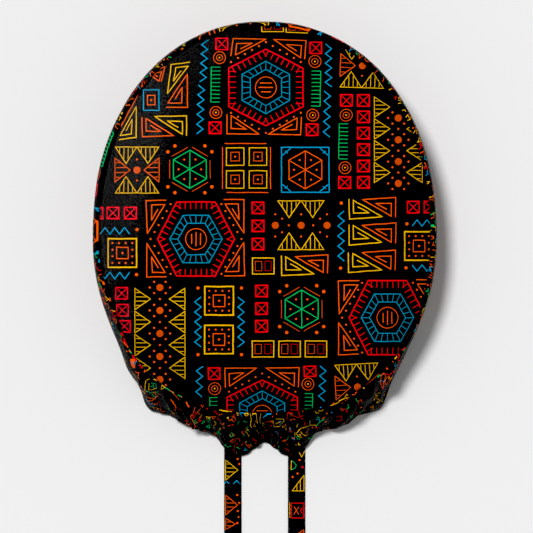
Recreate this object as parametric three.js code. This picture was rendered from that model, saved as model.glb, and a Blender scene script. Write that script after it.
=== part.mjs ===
// A cotton scrub cap with a gathered nape and two ties, resting on its rim.
// Millimetres, +Z up, +Y towards the forehead. Run it with the npm package three.
// A domed oval crown is sewn to a side band that hangs from its seam. A short nape casing, drawn up on
// elastic, joins the band's two ends, and two flat ties are sewn in under them.

import * as THREE from "three";

// Driving dimensions
const CROWN_HALF_WIDTH = 120; // of the seam, seen from above
const CROWN_FRONT = 150; // from the widest line to the front of the seam
const CROWN_BACK = 130; // from the widest line to the back of the seam
const FRONT_ROUNDNESS = 2.1; // exponents of the two half superellipses
const BACK_ROUNDNESS = 2.3;
const DOME_HEIGHT = 31; // of the crown's middle over its seam
const DOME_POWER = 3.6; // higher is flatter on top and rounder at the shoulder
const CLOTH = 1.4; // thickness of a wall
const HEM_CLOTH = 2.4; // thickness of the turned hem
const HEM_START = 0.8; // share of the way down the band where the hem's turn begins
const HEM_STEP = 0.05; // share of the way down over which the wall thickens to the hem
const BELLY_POWER = 0.72; // under 1 puts the fullest line of the wall above its middle
const FLARE_POWER = 1.25; // over 1 leaves most of the flare to the hem
const GAP = 0.3; // between pieces that are sewn together
const TIE_WIDTH = 13;
const TIE_THICKNESS = 2.2;
const TIE_LENGTH = 150; // free of the hem
const TIE_TUCK = 14; // sewn in under the hem
const TIE_SPACING = 46.5; // between the ties' centre lines at the hem
const TIE_HEM_Y = 160; // how far behind the widest line the ties leave the hem
const NAPE_FROM = 171.5; // degrees from the front: the band ends and the nape casing begins

// The rim, a row for each station, mirrored left and right. angle: degrees from the front.
// seam: height of the crown's seam. bulge: how far the wall bellies out. hem: how far the hem lies
// outside the seam in plan. lift: the hem's height over the surface, where it lies on the ties.
const RIM = [
  { angle: 0, seam: 69, bulge: 6.8, hem: -9, lift: 0 },
  { angle: 30, seam: 68, bulge: 6, hem: -9, lift: 0 },
  { angle: 60, seam: 65, bulge: 5.8, hem: -9, lift: 0 },
  { angle: 90, seam: 61, bulge: 5.8, hem: -9, lift: 0 },
  { angle: 112, seam: 56.5, bulge: 4.5, hem: -4, lift: 0 },
  { angle: 121, seam: 54, bulge: 3.4, hem: 1, lift: 0 },
  { angle: 129, seam: 51.5, bulge: 3.4, hem: 4.5, lift: 0 },
  { angle: 136, seam: 49, bulge: 3, hem: 7.5, lift: 0 },
  { angle: 140, seam: 48, bulge: 2.8, hem: 10.5, lift: 0 },
  { angle: 143, seam: 47, bulge: 2.5, hem: 14.5, lift: 0 },
  { angle: 146.5, seam: 46, bulge: 2.5, hem: 19, lift: 0 },
  { angle: 149, seam: 45.5, bulge: 2.5, hem: 17, lift: 0 },
  { angle: 153, seam: 44.5, bulge: 2.5, hem: 14.8, lift: 0 },
  { angle: 157, seam: 43, bulge: 3, hem: 16.5, lift: 0 },
  { angle: 162.5, seam: 41.5, bulge: 3, hem: 16.9, lift: 1.4 },
  { angle: 167, seam: 40.5, bulge: 3, hem: 18.4, lift: 2.8 },
  { angle: 169.5, seam: 40, bulge: 3, hem: 25.5, lift: 2.8 },
  { angle: 172, seam: 39.5, bulge: 3, hem: 30, lift: 2.8 },
  { angle: 174.5, seam: 39, bulge: 3, hem: 32, lift: 2.8 },
  { angle: 177, seam: 38.5, bulge: 3.5, hem: 27, lift: 2 },
  { angle: 180, seam: 38, bulge: 4, hem: 21.3, lift: 1.2 },
];

// Folds that run from the seam to a tie, a row for each. seam and hem: degrees from the front where the
// ridge starts and ends. width and height: of the ridge. side: 1 right, -1 left.
const FOLDS = [
  { side: -1, seam: 139, hem: 149, width: 5.5, height: 3.2 },
  { side: -1, seam: 147, hem: 158.5, width: 5, height: 3.6 },
  { side: -1, seam: 153, hem: 166, width: 4.5, height: 4.6 },
  { side: -1, seam: 161, hem: 169, width: 3.8, height: 3 },
  { side: -1, seam: 167, hem: 171, width: 3.2, height: 2.4 },
  { side: 1, seam: 137, hem: 149.5, width: 6, height: 3 },
  { side: 1, seam: 144, hem: 156, width: 4.5, height: 3.4 },
  { side: 1, seam: 150, hem: 163, width: 4.8, height: 4.2 },
  { side: 1, seam: 158.5, hem: 168.5, width: 3.8, height: 3.2 },
  { side: 1, seam: 166, hem: 171, width: 3.4, height: 2.2 },
];

// Slack waves in the standing wall: count around the cap, height, and turn in degrees.
const WAVES = [
  { count: 7, height: 1.2, turn: 20 },
  { count: 11, height: 0.7, turn: 75 },
];

const HEM_FLATTENING = 0.7; // share of a fold's height that is gone at the hem

const GATHERS = 8; // ridges across the nape casing
const GATHER_HEIGHT = 1.5;

// Mesh counts
const CROWN_COLUMNS = 84;
const CROWN_RINGS = 9;
const RING_POWER = 0.62; // under 1 crowds the rings at the seam
const BAND_ROWS = 9;
const BAND_STEP = 4.2; // degrees between columns round the front and sides
const FOLD_STEP = 1.5; // degrees between columns where the folds are
const FOLDS_FROM = 125; // degrees from the front
const NAPE_COLUMNS = 54;
const NAPE_ROWS = 7;

const COLUMNS = ["seam", "bulge", "hem", "lift"];
const rimCurve = new THREE.CubicInterpolant(
  RIM.map((row) => row.angle),
  RIM.flatMap((row) => COLUMNS.map((name) => row[name])),
  COLUMNS.length,
);

// The rim's sizes at an angle in degrees, from -180 to 180, right positive.
function rimAt(angle) {
  const values = rimCurve.evaluate(Math.abs(angle));
  const rim = Object.fromEntries(COLUMNS.map((name, i) => [name, values[i]]));
  rim.lift = Math.max(rim.lift, 0);
  return rim;
}

// The unit vector in plan at an angle from the front.
function heading(angle) {
  const a = THREE.MathUtils.degToRad(angle);
  return new THREE.Vector3(Math.sin(a), Math.cos(a), 0);
}

// The seam's distance from the cap's centre in plan.
function seamRadius(angle) {
  const { x, y } = heading(angle);
  const reach = y > 0 ? CROWN_FRONT : CROWN_BACK;
  const power = y > 0 ? FRONT_ROUNDNESS : BACK_ROUNDNESS;
  const across = Math.pow(Math.abs(x) / CROWN_HALF_WIDTH, power);
  const along = Math.pow(Math.abs(y) / reach, power);
  return Math.pow(across + along, -1 / power);
}

// The crown's middle surface: share 0 at its centre and 1 at the seam.
function crownPoint(angle, share) {
  const front = rimAt(0).seam;
  const back = rimAt(180).seam;
  const middle = (front + back) / 2;
  const tilt = ((front - back) / 2) * heading(angle).y;
  const rest = rimAt(angle).seam - middle - tilt;
  const dome = DOME_HEIGHT * (1 - Math.pow(share, DOME_POWER));
  const point = heading(angle).multiplyScalar(seamRadius(angle) * share);
  point.z = middle + tilt * share + rest * share * share + dome;
  return point;
}

// How far the folds lift the wall, with share 0 at the seam and 1 at the hem.
function foldHeight(angle, share) {
  let height = 0;
  for (const fold of FOLDS) {
    if (Math.sign(angle) !== fold.side) continue;
    const ridge = THREE.MathUtils.lerp(fold.seam, fold.hem, share);
    const away = THREE.MathUtils.degToRad(Math.abs(angle) - ridge) * seamRadius(angle);
    height += fold.height * Math.exp(-Math.pow(away / fold.width, 2));
  }
  const { smoothstep } = THREE.MathUtils;
  return height * smoothstep(share, 0, 0.3) * (1 - HEM_FLATTENING * smoothstep(share, 0.6, 1));
}

// Slack waves, none at the seam and fading out where the folds begin.
function waveHeight(angle, share) {
  const fade = 1 - THREE.MathUtils.smoothstep(Math.abs(angle), 110, 135);
  let height = 0;
  for (const wave of WAVES) {
    height += wave.height * Math.sin(wave.count * THREE.MathUtils.degToRad(angle + wave.turn));
  }
  return height * fade * share;
}

// Elastic gathers, which run all the way down the nape casing.
function gatherHeight(angle, share) {
  const across = (180 - Math.abs(angle)) / (180 - NAPE_FROM);
  const ridges = Math.cos(Math.PI * GATHERS * across);
  return GATHER_HEIGHT * ridges * THREE.MathUtils.smoothstep(share, 0.02, 0.3);
}

// The wall's middle surface between the seam and the hem, before folds.
function wallPoint(angle, share) {
  const rim = rimAt(angle);
  const belly = rim.bulge * Math.sin(Math.PI * Math.pow(share, BELLY_POWER));
  const flare = rim.hem * Math.pow(share, FLARE_POWER);
  const point = heading(angle).multiplyScalar(seamRadius(angle) + belly + flare);
  point.z = rim.seam + (rim.lift - rim.seam) * share;
  return point;
}

// The wall's middle surface with its folds, pushed out along the smooth wall's normal.
function foldedWall(fold) {
  return (angle, share) => {
    const normal = normalOf(wallPoint, angle, share);
    return wallPoint(angle, share).addScaledVector(normal, fold(angle, share));
  };
}

const bandPoint = foldedWall((angle, share) => foldHeight(angle, share) + waveHeight(angle, share));
const napePoint = foldedWall(gatherHeight);

// The outward normal of a surface given as a function of angle and share.
function normalOf(surface, angle, share) {
  const step = 0.01;
  const here = Math.min(Math.max(share, step), 1 - step);
  const around = surface(angle + step, here).sub(surface(angle - step, here));
  const down = surface(angle, here + step).sub(surface(angle, here - step));
  return around.cross(down).normalize();
}

function hemThickness(share) {
  const turned = THREE.MathUtils.smoothstep(share, HEM_START - HEM_STEP, HEM_START);
  return CLOTH + (HEM_CLOTH - CLOTH) * turned;
}

// A closed wall from a middle surface. angles and shares are the grid's lines. A grid that is round has
// no end edges, and one with a pole starts in one point. foot gives the height of the last row's edges.
function wall({ surface, angles, shares, thickness, foot, round = false, pole = false }) {
  const positions = [];
  const triangles = [];
  const rows = pole ? shares.slice(1) : shares;
  const columns = angles.length;
  const sides = [1, -1].map((side) => {
    const first = positions.length / 3;
    rows.forEach((share, i) => {
      for (const angle of angles) {
        const offset = (side * thickness(share)) / 2;
        const point = surface(angle, share);
        point.addScaledVector(normalOf(surface, angle, share), offset);
        if (foot && i === rows.length - 1) point.z = foot(angle);
        positions.push(...point);
      }
    });
    const at = (row, column) => first + row * columns + (column % columns);
    return { at, side };
  });
  const quad = (a, b, c, d) => triangles.push(a, c, b, a, d, c);
  const last = rows.length - 1;
  const steps = round ? columns : columns - 1;
  for (const { at, side } of sides) {
    for (let row = 0; row < last; row++) {
      for (let column = 0; column < steps; column++) {
        const corners = [at(row, column), at(row + 1, column), at(row + 1, column + 1), at(row, column + 1)];
        quad(...(side > 0 ? corners : corners.reverse()));
      }
    }
  }
  const [outside, inside] = sides.map(({ at }) => at);
  for (let column = 0; column < steps; column++) {
    quad(outside(last, column), inside(last, column), inside(last, column + 1), outside(last, column + 1));
    if (!pole) quad(inside(0, column), outside(0, column), outside(0, column + 1), inside(0, column + 1));
  }
  if (pole) {
    for (const { at, side } of sides) {
      const centre = positions.length / 3;
      const point = surface(0, 0);
      point.z += (side * thickness(0)) / 2;
      positions.push(...point);
      for (let column = 0; column < steps; column++) {
        const edge = [at(0, column), at(0, column + 1)];
        triangles.push(centre, ...(side > 0 ? edge.reverse() : edge));
      }
    }
  }
  if (!round) {
    for (let row = 0; row < last; row++) {
      quad(outside(row, 0), inside(row, 0), inside(row + 1, 0), outside(row + 1, 0));
      quad(inside(row, steps), outside(row, steps), outside(row + 1, steps), inside(row + 1, steps));
    }
  }
  const geometry = new THREE.BufferGeometry();
  geometry.setAttribute("position", new THREE.Float32BufferAttribute(positions, 3));
  geometry.setIndex(triangles);
  return geometry;
}

// Evenly spaced numbers from first to last.
function spread(first, last, steps) {
  return Array.from({ length: steps + 1 }, (_, i) => first + ((last - first) * i) / steps);
}

function crownPanel() {
  const edge = 1 - GAP / 2 / CROWN_HALF_WIDTH;
  const shares = spread(0, 1, CROWN_RINGS).map((share) => edge * Math.pow(share, RING_POWER));
  const angles = spread(-180, 180, CROWN_COLUMNS).slice(0, -1);
  return wall({ surface: crownPoint, angles, shares, thickness: () => CLOTH, round: true, pole: true });
}

// Rows down the wall, closer at the seam and at the hem's turn.
function wallShares(rows) {
  const seamEdge = GAP / rimAt(90).seam;
  const upper = spread(seamEdge, HEM_START - HEM_STEP, rows - 2);
  return [...upper, HEM_START, 1];
}

// Half the gap between the band's end and the nape casing, in degrees.
const END_GAP = THREE.MathUtils.radToDeg(GAP / 2 / CROWN_BACK);

function sideBand() {
  const end = NAPE_FROM - END_GAP;
  const foldSteps = Math.round((end - FOLDS_FROM) / FOLD_STEP);
  const sideSteps = Math.round((2 * FOLDS_FROM) / BAND_STEP);
  const foot = (angle) => rimAt(angle).lift;
  const angles = [
    ...spread(-end, -FOLDS_FROM, foldSteps).slice(0, -1),
    ...spread(-FOLDS_FROM, FOLDS_FROM, sideSteps),
    ...spread(FOLDS_FROM, end, foldSteps).slice(1),
  ];
  return wall({ surface: bandPoint, angles, shares: wallShares(BAND_ROWS), thickness: hemThickness, foot });
}

function napeCasing() {
  const start = NAPE_FROM + END_GAP;
  const signed = (angle) => (angle > 180 ? angle - 360 : angle);
  const surface = (angle, share) => napePoint(signed(angle), share);
  const foot = (angle) => rimAt(signed(angle)).lift;
  const angles = spread(start, 360 - start, NAPE_COLUMNS);
  return wall({ surface, angles, shares: wallShares(NAPE_ROWS), thickness: () => CLOTH, foot });
}

// A flat tie that lies on the surface, from under the hem to its sewn end.
function tie() {
  const length = TIE_TUCK + TIE_LENGTH;
  const geometry = new THREE.BoxGeometry(TIE_WIDTH, length, TIE_THICKNESS);
  geometry.translate(0, TIE_TUCK - TIE_HEM_Y - length / 2, TIE_THICKNESS / 2);
  return geometry;
}

const cotton = { roughness: 0.85, metalness: 0 };
const printed = new THREE.MeshStandardMaterial({ color: 0x0c0b0b, ...cotton });
const gathered = new THREE.MeshStandardMaterial({ color: 0x100d0c, ...cotton });
const tape = new THREE.MeshStandardMaterial({ color: 0x0e0c0c, ...cotton });

function piece(name, geometry, material) {
  const mesh = new THREE.Mesh(geometry, material);
  mesh.name = name;
  return mesh;
}

const cap = new THREE.Group();
cap.add(piece("crown_panel", crownPanel(), printed));
cap.add(piece("side_band", sideBand(), printed));
cap.add(piece("nape_casing", napeCasing(), gathered));
for (const [name, side] of [["tie_left", -1], ["tie_right", 1]]) {
  const strip = piece(name, tie(), tape);
  strip.position.x = (side * TIE_SPACING) / 2;
  cap.add(strip);
}

// The origin is the middle of the whole footprint, on the surface.
const footprint = new THREE.Box3().setFromObject(cap).getCenter(new THREE.Vector3());
cap.position.set(-footprint.x, -footprint.y, 0);
const part = new THREE.Group();
part.add(cap);

export default part;
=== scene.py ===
"""A cotton scrub cap with a patchwork print, lying crown up and seen from straight above.

The print is part of the cloth's mesh. It is charted in flat cloth, where each motif is drawn with strokes
and dots, the flat cloth is triangulated along them, and the whole is then laid over the cap's form.
Sizes are in millimetres until a mesh is made. The cap's own axes have the middle of its widest line at
x = 0, y = 0, with +Y towards the forehead.
"""

import math
from functools import partial

import bpy
import numpy as np
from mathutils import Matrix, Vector, noise
from mathutils.geometry import delaunay_2d_cdt


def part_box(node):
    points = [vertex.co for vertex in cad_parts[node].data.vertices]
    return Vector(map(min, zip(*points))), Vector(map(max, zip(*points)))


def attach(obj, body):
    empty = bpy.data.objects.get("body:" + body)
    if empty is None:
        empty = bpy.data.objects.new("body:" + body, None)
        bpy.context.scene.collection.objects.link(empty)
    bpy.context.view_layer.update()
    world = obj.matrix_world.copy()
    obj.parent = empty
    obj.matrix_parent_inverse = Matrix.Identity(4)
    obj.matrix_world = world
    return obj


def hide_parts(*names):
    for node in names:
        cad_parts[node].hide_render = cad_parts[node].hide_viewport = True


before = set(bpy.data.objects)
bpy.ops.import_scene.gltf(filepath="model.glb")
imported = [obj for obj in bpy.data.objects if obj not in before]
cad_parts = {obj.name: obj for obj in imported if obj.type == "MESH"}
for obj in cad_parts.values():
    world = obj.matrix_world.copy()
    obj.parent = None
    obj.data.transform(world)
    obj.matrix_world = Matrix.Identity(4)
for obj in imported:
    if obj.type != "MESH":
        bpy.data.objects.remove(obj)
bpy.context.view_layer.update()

MM = 0.001

# The cap's driving dimensions. The frame's solids have the same ones, but their cloth and ties are a
# little thicker and the wall's fullest line is lower.
CROWN_HALF_WIDTH = 120
CROWN_FRONT = 150
CROWN_BACK = 130
FRONT_ROUNDNESS = 2.1
BACK_ROUNDNESS = 2.3
DOME_HEIGHT = 31
DOME_POWER = 3.6
BELLY_POWER = 0.5
FLARE_POWER = 1.25
CLOTH = 1.2
TIE_WIDTH = 12.7
TIE_THICKNESS = 2.0
TIE_LENGTH = 150
TIE_TUCK = 14
TIE_SPACING = 46.5
TIE_HEM_Y = 160
NAPE_FROM = 171.5
HEM_FLATTENING = 0.7
HEM_DEPTH = 12

# On the left the crown is drawn in and the band slumps out. The frame leaves this to the scene.
DENT = 4.2
DENT_ANGLE = -117
DENT_SPREAD = 11
SLUMP = 3
SLUMP_ANGLE = -137
SLUMP_SPREAD = 7

# The rim. angle: degrees from the front. seam: height of the crown's seam. bulge: how far the wall
# bellies out. hem: how far the hem lies outside the seam. lift: the hem's height over the surface.
# It follows the photograph's outline, a little more closely than the frame does.
RIM_COLUMNS = ("angle", "seam", "bulge", "hem", "lift")
RIM = (
    (0, 69, 4.2, -9, 0),
    (30, 68, 5.5, -9, 0),
    (60, 65, 5.8, -9, 0),
    (90, 61, 5.8, -9, 0),
    (112, 56.5, 4.5, -4, 0),
    (121, 54, 3.4, 1, 0),
    (129, 51.5, 3.4, 4.5, 0),
    (136, 49, 4.6, 7.5, 0),
    (140, 48, 4, 10.5, 0),
    (143, 47, 2.5, 14.5, 0),
    (146.5, 46, 2.5, 19, 0),
    (149, 45.5, 2.5, 17, 0),
    (153, 44.5, 2.5, 14.8, 0),
    (157, 43, 3, 16.5, 0),
    (162.5, 41.5, 3, 15.2, 1.4),
    (167, 40.5, 3, 18.4, 2.8),
    (169.5, 40, 3, 25.5, 2.8),
    (172, 39.5, 3, 30, 2.8),
    (174.5, 39, 3, 32, 2.8),
    (177, 38.5, 3.5, 27, 2),
    (180, 38, 4, 21.3, 1.2),
)

# Folds that run from the seam to a tie. side: 1 right, -1 left. seam and hem: degrees from the front
# where the ridge starts and ends. width and height: of the ridge.
FOLDS = (
    (-1, 139, 149, 5.5, 3.2),
    (-1, 147, 158.5, 5, 3.6),
    (-1, 153, 166, 4.5, 4.6),
    (-1, 161, 169, 3.8, 3),
    (-1, 167, 171, 3.2, 2.4),
    (1, 137, 149.5, 6, 3),
    (1, 144, 156, 4.5, 3.4),
    (1, 150, 163, 4.8, 4.2),
    (1, 158.5, 168.5, 3.8, 3.2),
    (1, 166, 171, 3.4, 2.2),
)

# Slack waves in the standing wall: count round the cap, height, and turn in degrees
WAVES = ((7, 1.2, 20), (11, 0.7, 75))
WAVES_FADE = (110, 135)  # degrees from the front

GATHERS = 8
GATHER_HEIGHT = 1.5


def smoothstep(value, low, high):
    share = np.clip((value - low) / (high - low), 0, 1)
    return share * share * (3 - 2 * share)


def rim_at(angle):
    """The rim's sizes at angles in degrees, as a dict of arrays, by a cubic through the table's rows."""
    rows = np.array(RIM, dtype=float)
    knots = rows[:, 0]
    here = np.clip(np.abs(angle), knots[0], knots[-1])
    left = np.clip(np.searchsorted(knots, here, side="right") - 1, 0, len(knots) - 2)
    step = knots[left + 1] - knots[left]
    t = (here - knots[left]) / step
    sizes = {}
    for column, name in enumerate(RIM_COLUMNS[1:], start=1):
        values = rows[:, column]
        slopes = np.gradient(values, knots)
        a, b = values[left], values[left + 1]
        slope_a, slope_b = slopes[left] * step, slopes[left + 1] * step
        cubic = (2 * t**3 - 3 * t**2 + 1) * a + (t**3 - 2 * t**2 + t) * slope_a
        sizes[name] = cubic + (3 * t**2 - 2 * t**3) * b + (t**3 - t**2) * slope_b
    sizes["lift"] = np.maximum(sizes["lift"], 0)
    return sizes


def seam_radius(angle):
    """The seam's distance from the cap's centre in plan."""
    x, y = np.sin(np.radians(angle)), np.cos(np.radians(angle))
    reach = np.where(y > 0, CROWN_FRONT, CROWN_BACK)
    power = np.where(y > 0, FRONT_ROUNDNESS, BACK_ROUNDNESS)
    even = ((np.abs(x) / CROWN_HALF_WIDTH) ** power + (np.abs(y) / reach) ** power) ** (-1 / power)
    return even - seam_dent(angle)


def seam_dent(angle):
    """The crown is drawn in a little on the left, where the band slumps out."""
    return DENT * np.exp(-(((angle - DENT_ANGLE) / DENT_SPREAD) ** 2))


SEAM_ANGLES = np.linspace(-180, 180, 1441)


def heading(angle):
    turn = np.radians(angle)
    return np.stack([np.sin(turn), np.cos(turn)], axis=-1)


def arc_table():
    """The seam's arc length from the front at each of SEAM_ANGLES."""
    points = heading(SEAM_ANGLES) * seam_radius(SEAM_ANGLES)[:, None]
    steps = np.linalg.norm(np.diff(points, axis=0), axis=1)
    arcs = np.concatenate([[0], np.cumsum(steps)])
    return arcs - np.interp(0, SEAM_ANGLES, arcs)


SEAM_ARCS = arc_table()


def bumps(places, size, seed):
    """Smooth noise from -1 to 1 with features of that size in millimetres."""
    shifted = np.asarray(places, dtype=float) / size
    if shifted.shape[1] == 2:
        shifted = np.column_stack([shifted, np.full(len(shifted), seed * 7.31)])
    else:
        shifted = shifted + seed * 7.31
    return np.array([noise.noise(p) for p in shifted])


# The crown

CROWN_EASE = 0.07  # how much further the crown's cloth reaches than its plan, at the seam
EASE_POWER = 5
SEAM_ROLL = 3.5  # width of the turn into the seam, on both sides of it
SEAM_SINK = 1.3
SEAM_CLEARANCE = 0.5  # between the crown's edge and the wall's outside
PUCKER = 0.5  # height of the puckers along the seam
PUCKER_SIZE = 5.5
PUCKER_REACH = 7
SLACK = 1.1  # height of the crown's soft unevenness
FINE_SLACK = 0.35

SHARES = np.linspace(0, 1.8, 901)
CLOTH_SHARES = SHARES * (1 + CROWN_EASE * np.minimum(SHARES, 1.1) ** EASE_POWER)


def crown_height(angle, share):
    front, back = rim_at(0)["seam"], rim_at(180)["seam"]
    middle = (front + back) / 2
    tilt = (front - back) / 2 * heading(angle)[..., 1]
    rest = rim_at(angle)["seam"] - middle - tilt
    share = np.minimum(share, 1.02)
    dome = DOME_HEIGHT * (1 - share**DOME_POWER)
    return middle + tilt * share + rest * share**2 + dome


def crown_surface(flat):
    """Where points of the crown's flat cloth lie on the cap."""
    angle = np.degrees(np.arctan2(flat[:, 0], flat[:, 1]))
    reach = seam_radius(angle)
    share = np.interp(np.hypot(flat[:, 0], flat[:, 1]) / reach, CLOTH_SHARES, SHARES)
    plan = heading(angle) * (reach * share)[:, None]
    inset = np.maximum((1 - share) * reach, 0)
    height = crown_height(angle, share)
    height += SLACK * bumps(flat, 62, 1) * (1 - share**4)
    height += FINE_SLACK * bumps(flat, 21, 2) * (1 - share**6)
    edge = np.column_stack([np.interp(angle, SEAM_ANGLES, SEAM_ARCS), inset * 0.25])
    height += PUCKER * bumps(edge, PUCKER_SIZE, 3) * np.exp(-inset / PUCKER_REACH)
    height -= SEAM_SINK * np.clip(1 - inset / SEAM_ROLL, 0, 1) ** 2
    return np.column_stack([plan, height])


# The wall: the side band and the nape casing

CASING_FULLNESS = 2.1  # how much wider the casing's cloth is than the seam that it is drawn up to
SKIRT_FULLNESS = 1.35
SKIRT_GATHERS = (128, 150)  # degrees over which the fullness grows
CASING_GATHERS = (167, 174)
WALL_DEPTHS = 60  # samples for the depth of the wall's cloth


def fullness(angle):
    skirt = smoothstep(np.abs(angle), *SKIRT_GATHERS)
    casing = smoothstep(np.abs(angle), *CASING_GATHERS)
    return 1 + (SKIRT_FULLNESS - 1) * skirt + (CASING_FULLNESS - SKIRT_FULLNESS) * casing


def wall_cloth_table():
    """The wall cloth's length from the front at each of SEAM_ANGLES, gathers let out."""
    middles = (SEAM_ANGLES[1:] + SEAM_ANGLES[:-1]) / 2
    steps = np.diff(SEAM_ARCS) * fullness(middles)
    lengths = np.concatenate([[0], np.cumsum(steps)])
    return lengths - np.interp(0, SEAM_ANGLES, lengths)


WALL_LENGTHS = wall_cloth_table()


def smooth_wall(angle, share):
    """The wall between the seam, share 0, and the hem, share 1, without folds."""
    rim = rim_at(angle)
    share = np.clip(share, 0, 1.1)
    belly = rim["bulge"] * np.sin(np.pi * np.minimum(share**BELLY_POWER, 1))
    flare = rim["hem"] * share**FLARE_POWER
    slump = seam_dent(angle) * smoothstep(share, 0, 0.35)
    away = (angle - SLUMP_ANGLE) / SLUMP_SPREAD
    slump += SLUMP * np.exp(-(away**2)) * np.sin(np.pi * np.clip(share, 0, 1))
    plan = heading(angle) * (seam_radius(angle) + belly + flare + slump)[:, None]
    return np.column_stack([plan, rim["seam"] + (rim["lift"] - rim["seam"]) * share])


def wall_depth_table():
    """The length of the wall's cloth from seam to hem at each of SEAM_ANGLES."""
    shares = np.linspace(0, 1, WALL_DEPTHS)
    rows = [smooth_wall(SEAM_ANGLES, np.full(len(SEAM_ANGLES), share)) for share in shares]
    return np.linalg.norm(np.diff(rows, axis=0), axis=2).sum(axis=0)


WALL_DEEP = wall_depth_table()


def fold_relief(angle, share):
    height = np.zeros_like(angle)
    for side, seam, hem, width, high in FOLDS:
        ridge = seam + (hem - seam) * share
        away = np.radians(np.abs(angle) - ridge) * seam_radius(angle)
        height += np.where(np.sign(angle) == side, high * np.exp(-((away / width) ** 2)), 0)
    flattened = 1 - HEM_FLATTENING * smoothstep(share, 0.6, 1)
    return height * smoothstep(share, 0, 0.3) * flattened


def wave_relief(angle, share):
    height = sum(h * np.sin(n * np.radians(angle + turn)) for n, h, turn in WAVES)
    return height * (1 - smoothstep(np.abs(angle), *WAVES_FADE)) * share


def gather_relief(angle, share):
    across = (180 - np.abs(angle)) / (180 - NAPE_FROM)
    from_nape = np.sign(angle) * (180 - np.abs(angle))
    uneven = 0.9 * bumps(np.column_stack([from_nape * 2.2, share * 3]), 4, 11)
    ridges = np.cos(np.pi * GATHERS * across + uneven)
    return GATHER_HEIGHT * ridges * smoothstep(share, 0.02, 0.3)


# Sharper creases, with columns as in FOLDS
CREASES = (
    (-1, 147, 166, 2.2, 3.6),
    (-1, 150.5, 155, 1.7, 1.8),
    (-1, 138, 146, 2.2, 1.4),
    (-1, 156, 161, 1.6, 1.6),
    (1, 145, 163.5, 2.4, 2.3),
    (1, 152, 157, 1.8, 1.6),
    (1, 137, 147, 2.2, 1.2),
    (1, 158, 165, 1.6, 1.8),
)


def crease_relief(angle, share):
    height = np.zeros_like(angle)
    for side, seam, hem, width, high in CREASES:
        ridge = seam + (hem - seam) * share
        away = np.abs(np.radians(np.abs(angle) - ridge) * seam_radius(angle))
        height += np.where(np.sign(angle) == side, high * np.exp(-away / width), 0)
    return height * smoothstep(share, 0, 0.22) * (1 - 0.75 * smoothstep(share, 0.7, 1))


SKIRT_SPREAD = 2.4  # how far the creased skirt is spread at its hem
CRUMPLE_FROM = 126  # degrees from the front
CRUMPLES = ((12, 1.4, 21), (6, 0.8, 22), (3.4, 0.25, 23))  # size, height and seed


def crumple_relief(angle, share):
    """Sharp little ridges that run down the skirt, fuller towards the nape."""
    depth = np.interp(angle, SEAM_ANGLES, WALL_DEEP) * share
    from_nape = SEAM_ARCS[-1] - np.abs(np.interp(angle, SEAM_ANGLES, SEAM_ARCS))
    lean = np.sign(angle) * (from_nape + depth * 0.55 * (1 - smoothstep(np.abs(angle), 160, 178)))
    grow = smoothstep(np.abs(angle), CRUMPLE_FROM, 158)
    height = np.zeros_like(angle)
    for size, high, seed in CRUMPLES:
        ridged = bumps(np.column_stack([lean, depth * 0.38]), size, seed)
        height += high * (0.6 - 1.6 * np.abs(ridged))
    return height * grow * smoothstep(share, 0.0, 0.25)


HEM_GROOVE = 0.45  # how deep the hem's seam presses the cloth, and how wide
HEM_GROOVE_WIDTH = 0.9
STRAY = 0.9  # degrees by which the crumpled cloth strays from its fold
STRAY_DOWN = 0.05  # and the share of the wall's depth
SOFT_RELIEF = 0.5
NORMAL_STEP = 0.01


def strayed(angle, share, flat, crumpled):
    """The crumpled cloth lies a little off its even place."""
    inner = crumpled * np.sin(np.pi * np.clip(share, 0, 1))
    side = np.where(angle < 0, -1, 1)
    near_nape = np.clip((180 - np.abs(angle)) / 3, 0, 1)
    size = np.abs(angle) + STRAY * inner * bumps(flat, 8, 31) * near_nape
    return side * np.minimum(size, 180), share + STRAY_DOWN * inner * bumps(flat, 9, 32)


def wall_relief(angle, share, down, depth, flat, crumpled):
    """How far the cloth stands out from the smooth wall."""
    nape = smoothstep(np.abs(angle), NAPE_FROM - 2, NAPE_FROM + 2)
    relief = (fold_relief(angle, share) + crease_relief(angle, share)) * (1 - nape)
    relief += gather_relief(angle, share) * nape
    relief += crumple_relief(angle, share) * (1 - 0.35 * nape) + wave_relief(angle, share)
    relief += SOFT_RELIEF * bumps(flat, 34, 33) * smoothstep(share, 0, 0.4)
    relief += PUCKER * bumps(flat * (1, 0.25), PUCKER_SIZE, 34) * np.exp(-down / PUCKER_REACH)
    relief += SEAM_CLEARANCE * np.exp(-down / 2)
    above_hem = (down - depth + HEM_DEPTH) / HEM_GROOVE_WIDTH
    relief -= HEM_GROOVE * np.exp(-(above_hem**2)) * (1 - nape)
    relief *= 1 - 0.8 * smoothstep(share, 0.93, 1) * crumpled
    return relief + SKIRT_SPREAD * crumpled * share * (1 - nape)


def wall_normals(angle, share):
    around = smooth_wall(angle + NORMAL_STEP, share) - smooth_wall(angle - NORMAL_STEP, share)
    fall = smooth_wall(angle, share + NORMAL_STEP) - smooth_wall(angle, share - NORMAL_STEP)
    outward = np.cross(around, fall)
    return outward / np.linalg.norm(outward, axis=1)[:, None]


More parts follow.
